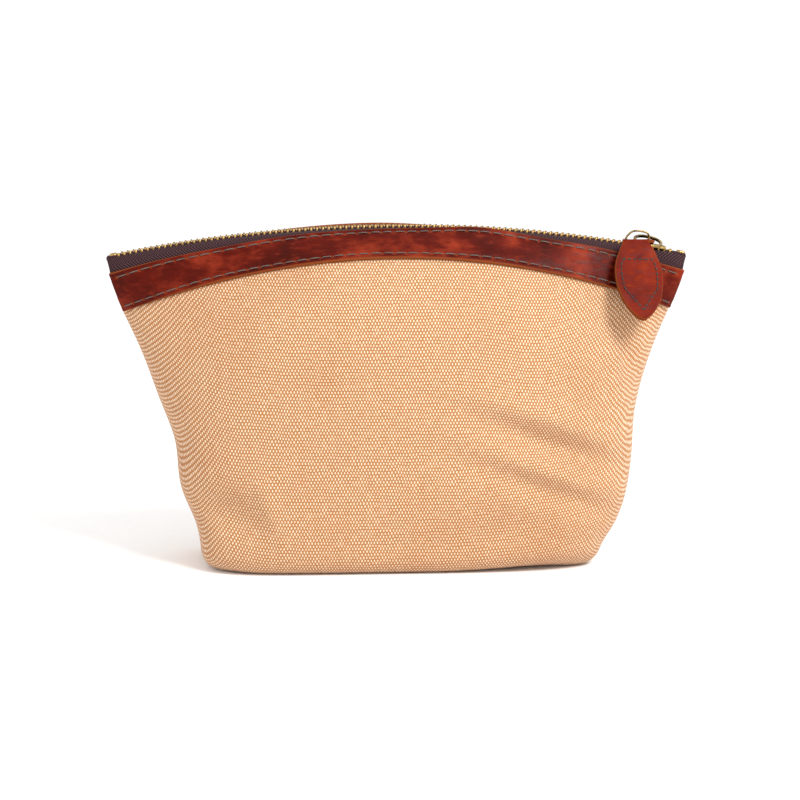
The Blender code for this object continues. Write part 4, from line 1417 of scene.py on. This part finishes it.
@dataclass
class Pull:
    """The ring on the slider and the leather puller folded round it."""

    slider: Slider
    finishes: Finishes
    copies: PathCopies
    ring_radius: float = 5.8 * MM
    ring_x: float = 0.7 * MM
    ring_front: float = 9.6 * MM
    length: float = 35.5 * MM
    half_width: float = 10.3 * MM
    top_half_width: float = 5.9 * MM
    offset: float = -5.8 * MM
    lean: float = math.radians(36)
    turn: float = math.radians(10)
    neck_half_width: float = 1.8 * MM
    neck_clearance: float = 0.8 * MM
    leaf: float = 1.2 * MM
    inset: float = 2.6 * MM
    pitch: float = 2.3 * MM

    @property
    def ring_place(self) -> Matrix:
        """What turns the ring's own coordinates, about its hinge, into the pouch's."""
        slider = self.slider
        hinge = slider.place @ Matrix.Translation((0, 0, slider.ring_height))
        return hinge @ Matrix.Rotation(slider.ring_slope, 4, "X")

    @property
    def puller_place(self) -> Matrix:
        """What turns the puller's own coordinates, hanging from its fold, into the pouch's."""
        hinge = self.ring_place @ Matrix.Translation((0, -self.ring_front, 0))
        return hinge @ Matrix.Rotation(-self.lean - self.slider.ring_slope, 4, "X")

    def make_ring(self) -> bpy.types.Object:
        """Make the broad flat ring and return it."""
        section = ring_section(0.56 * MM, 0.68 * MM, 12, 3.2)
        turns = np.linspace(0, 2 * math.pi, 64, endpoint=False)
        middle = -(self.ring_front - self.ring_radius)
        rings = []
        for turn in turns:
            c, s = math.cos(turn), math.sin(turn)
            reach = [self.ring_radius + a for a, _ in section]
            rings.append([(self.ring_x + r * c, middle + r * s, b) for r, (_, b) in zip(reach, section)])
        solid = Solid()
        solid.add_sweep(np.array(rings), closed=True)
        return solid.object("flat_ring", self.finishes.fittings, self.ring_place)

    def width_at(self, drop: float) -> float:
        """Return the leaves' half width at a distance below the fold."""
        widest = 0.4 * self.length
        if drop < widest:
            return mix(self.top_half_width, self.half_width, math.sin(max(drop, 0) / widest * math.pi / 2))
        share = min((drop - widest) / (self.length - widest), 0.9995)
        return self.half_width * (1 - share**2.1) ** 0.62

    def depth_at(self, drop: float) -> float:
        """Return how far a leaf's middle is from the plane between the leaves."""
        loop = self.slider.wire / 2 + self.neck_clearance + self.leaf / 2
        sewn = self.leaf / 2 + 0.15 * MM
        return float(mix(loop, sewn, ease(drop, 0.06 * self.length, 0.3 * self.length)))

    def bend_at(self, drop: float) -> float:
        """Return how far both leaves curl back towards the pouch."""
        return 1.3 * MM * (drop / self.length) ** 2

    def turned(self, points: Any) -> Array:
        """Return points of a leaf, turned in its own plane about the middle of the ring."""
        points = np.array(points, float)
        x, z = points[..., 0] - self.ring_x, points[..., 2]
        c, s = math.cos(self.turn), math.sin(self.turn)
        return np.stack((self.ring_x + x * c - z * s, points[..., 1], z * c + x * s), -1)

    def sections(self) -> list[tuple[float, float, float, float, float]]:
        """Return the leather's stations as (depth, height, half width, middle, drop below the fold)."""
        loop = self.depth_at(0.0)
        shares = (1, 0.996, 0.985, 0.965, 0.94, 0.9, 0.86, 0.82, 0.77, 0.72)
        shares += (0.66, 0.6, 0.54, 0.48, 0.42, 0.36, 0.3, 0.27, 0.24, 0.2, 0.16, 0.12, 0.08, 0.04, 0.0)
        drops = [self.length * s for s in shares]
        rows = []
        for d in drops:
            rows.append((-self.depth_at(d) + self.bend_at(d), -d, self.width_at(d), self.offset, d))
        for degrees in (10, 20, 30, 38):
            c, s = math.cos(math.radians(degrees)), math.sin(math.radians(degrees))
            rows.append((-loop * c, loop * s, self.top_half_width * (1 - 0.0006 * degrees), self.offset, 0.0))
        for degrees in (39, 50, 62, 75, 90, 105, 120, 135, 150, 165, 180):
            c, s = math.cos(math.radians(degrees)), math.sin(math.radians(degrees))
            rows.append((-loop * c, loop * s, self.neck_half_width, self.ring_x, 0.0))
        for d in (0.03 * self.length, 0.068 * self.length):
            rows.append((self.depth_at(d), -d, self.neck_half_width, self.ring_x, d))
        for d in [0.07 * self.length] + drops[:-2][::-1]:
            half = self.width_at(d) - 0.15 * MM
            rows.append((self.depth_at(d) + self.bend_at(d), -d, half, self.offset, d))
        return rows

    def make_leather(self) -> bpy.types.Object:
        """Make the puller from one strip: front leaf, fold, neck round the ring and back leaf."""
        rows = self.sections()
        centres = np.array([(y, z) for y, z, *_ in rows])
        rings, raws, crease_shades_and_patches = [], [], []
        inner = np.linspace(-1, 1, 21)[1:-1]
        thick, radius = self.leaf / 2, 0.4 * MM
        for i, (y, z, half, middle, drop) in enumerate(rows):
            before, after = centres[max(i - 1, 0)], centres[min(i + 1, len(rows) - 1)]
            dy, dz = (after - before) / np.linalg.norm(after - before)
            r = min(radius, half * 0.6)
            arc = np.radians((8, 35, 62, 90))
            corner = [(half - r + r * math.cos(a), thick - r + r * math.sin(a)) for a in arc]
            flats = [(x * (half - r), thick) for x in -inner]
            top = corner + flats + [(-a, b) for a, b in corner[::-1]]
            ring, raw, smudge = [], [], []
            for a, b in top + [(a, -b) for a, b in top[::-1]]:
                line = half - self.inset
                sunk = 0.14 * MM * hump(abs(a), line, 0.6 * MM) * (drop > 0.26 * self.length) * (b > 0)
                level = b - sunk
                ring.append((middle + a, y - level * dz, z + level * dy))
                raw.append(float(ease(abs(a), half - 0.34 * MM, half - 0.12 * MM)))
                # Painted shade along the crease just under the fold, and a darker patch towards the front
                # leaf's lower left corner.
                painted_crease_shade = hump(a, 0.8 * MM, 2.6 * MM) * hump(drop, 6.6 * MM - 0.25 * abs(a), 0.9 * MM)
                corner_mark = hump(a, -4.2 * MM, 2.2 * MM) * hump(drop, 27.5 * MM + 0.4 * a, 1.5 * MM)
                smudge.append(float((painted_crease_shade + corner_mark) * (b > 0) * (i < len(rows) / 2)))
            rings.append(ring if half == self.neck_half_width else self.turned(ring))
            raws.append(raw)
            crease_shades_and_patches.append(smudge)
        solid = Solid()
        blank = np.zeros((len(rings), len(rings[0])))
        marks = {"raw": np.array(raws), "smudge": np.array(crease_shades_and_patches), "hole": blank}
        solid.add_sweep(np.array(rings), marks=marks)
        return sharpen(solid.object("leather_puller", self.finishes.puller, self.puller_place), 45)

    def stitch_line(self, way: int) -> tuple[Array, Array]:
        """Return the closed shield of stitches on one leaf, with the way out of the leather.

        Args:
            way: -1 for the front leaf, 1 for the back one.
        """
        top = 0.22 * self.length
        drops = np.linspace(top + 1.2 * MM, self.length * 0.62, 24)
        right = [(self.width_at(d) - self.inset, d) for d in drops]
        left = [(-x, d) for x, d in right[::-1]]
        tip = [(0.0, self.length * 0.885)]
        corner = right[0][0] - 1.0 * MM
        loop = [(-corner, top), (0.0, top), (corner, top)] + right + tip + left + [(-corner, top)]
        loop = np.array(loop)
        steps = walked(loop)
        at = np.linspace(0, steps[-1], 420)
        across, drop = np.interp(at, steps, loop[:, 0]), np.interp(at, steps, loop[:, 1])
        out = self.leaf / 2
        points = []
        for a, d in zip(across, drop):
            y = way * (self.depth_at(d) + out) + self.bend_at(d)
            points.append((self.offset + a, y, -d))
        outward = np.tile((0.0, float(way), 0.0), (len(points), 1))
        return self.turned(points), outward

    def make_stitches(self) -> bpy.types.Object:
        """Make the stitches of both leaves as one piece and return it."""
        sides = []
        place = self.puller_place
        for way in (-1, 1):
            line, out = self.stitch_line(way)
            line = np.array([place @ Vector(p) for p in line])
            out = np.array([place.to_3x3() @ Vector(p) for p in out])
            count = int(walked(line)[-1] / self.pitch)
            shape = stitch(self.pitch * 0.9, 0.3 * MM)
            finish, unevenness = self.finishes.puller_thread, PULLER_THREAD_UNEVENNESS
            sides.append(self.copies.make(f"side_{way}", line, out, count, shape, finish, unevenness))
        return join(sides, "puller_stitches")

    def make(self) -> None:
        """Make the ring, the puller and its stitches."""
        wear(self.make_ring(), "ring", "brass", "pull_ring")
        wear(self.make_leather(), "puller", "puller_leather", "puller_leather")
        wear(self.make_stitches(), "puller", "thread", "puller_thread")


def join(pieces: list[bpy.types.Object], name: str) -> bpy.types.Object:
    """Put the meshes of some pieces in one and return it."""
    solid = Solid()
    finish = pieces[0].data.materials[0]
    for piece in pieces:
        mesh = piece.data
        solid.points.append(np.array([v.co for v in mesh.vertices]))
        solid.uv.append(np.zeros((len(mesh.vertices), 2)))
        solid.faces += [tuple(i + solid.count for i in face.vertices) for face in mesh.polygons]
        solid.count += len(mesh.vertices)
        bpy.data.objects.remove(piece)
        bpy.data.meshes.remove(mesh)
    return solid.object(name, finish)


# ---------------------------------------------------------------- studio


@dataclass
class Studio:
    """A white table in soft light, and the camera."""

    aim: tuple[float, float, float] = (0.0009, 0.0, 0.0699)
    distance: float = 0.964
    azimuth: float = math.radians(-3.5)
    elevation: float = math.radians(9)
    focal_length: float = 100.0

    def make_table(self) -> None:
        """Make the pale floor."""
        material, tree, shader, where = new_finish("matt_white_paper")
        fibre = speckle(tree, where, 3 * MM, 3)
        tree.links.new(blend_colours(tree, fibre, "#f7f7f6", "#fdfdfd"), shader.inputs["Base Color"])
        shader.inputs["Roughness"].default_value = 0.95
        shader.inputs["Specular IOR Level"].default_value = 0.0
        mesh = bpy.data.meshes.new("table")
        reach = 6.0
        corners = [(-reach, -reach, 0), (reach, -reach, 0), (reach, reach, 0), (-reach, reach, 0)]
        mesh.from_pydata(corners, [], [(0, 1, 2, 3)])
        mesh.materials.append(material)
        table = bpy.data.objects.new("table", mesh)
        bpy.context.scene.collection.objects.link(table)

    def add_light(self, name: str, place: tuple[float, float, float], size: float, power: float) -> None:
        """Add one soft square light that faces the pouch."""
        data = bpy.data.lights.new(name, "AREA")
        data.shape = "SQUARE"
        data.size = size
        data.energy = power
        light = bpy.data.objects.new(name, data)
        light.location = place
        light.rotation_euler = (Vector(self.aim) - Vector(place)).to_track_quat("-Z", "Y").to_euler()
        bpy.context.scene.collection.objects.link(light)

    def make_lights(self) -> None:
        """Add the white surroundings, the main light and the fill."""
        world = bpy.data.worlds.new("white_room")
        bpy.context.scene.world = world
        world.use_nodes = True
        background = world.node_tree.nodes["Background"]
        background.inputs["Color"].default_value = (1, 1, 1, 1)
        background.inputs["Strength"].default_value = 1.05
        self.add_light("main", (0.55, -0.7, 0.9), 0.4, 13.0)
        self.add_light("fill", (-0.9, -0.6, 0.5), 0.7, 1.0)
        bpy.context.scene.view_settings.view_transform = "Standard"

    def make_camera(self) -> None:
        """Add the camera."""
        data = bpy.data.cameras.new("camera")
        data.lens = self.focal_length
        data.clip_end = 50
        camera = bpy.data.objects.new("camera", data)
        level = math.cos(self.elevation)
        across, ahead = math.sin(self.azimuth) * level, math.cos(self.azimuth) * level
        away = Vector((across, -ahead, math.sin(self.elevation)))
        camera.location = Vector(self.aim) + away * self.distance
        camera.rotation_euler = (-away).to_track_quat("-Z", "Y").to_euler()
        bpy.context.scene.collection.objects.link(camera)
        bpy.context.scene.camera = camera

    def make(self) -> None:
        """Make the table, the lights and the camera."""
        self.make_table()
        self.make_lights()
        self.make_camera()


def main() -> None:
    """Dress the pouch piece by piece, then set the table."""
    logging.basicConfig(level=logging.INFO, format="%(message)s")
    form = PouchForm()
    finishes = build_finishes()
    copies = PathCopies()
    cloth = ClothBody(form, finishes)
    cloth.make_panels()
    cloth.make_bindings()
    bands = LeatherBands(form, finishes, copies)
    bands.make_band(Side.FRONT, Half.WHOLE, "front", "front")
    for half in (Half.LEFT, Half.RIGHT):
        bands.make_band(Side.BACK, half, f"back_{half.name.lower()}", "back")
    Zip(form, finishes, copies).make()
    slider = Slider(form, finishes)
    slider.make()
    Pull(slider, finishes, copies).make()
    Studio().make()


if __name__ == "__main__":
    main()
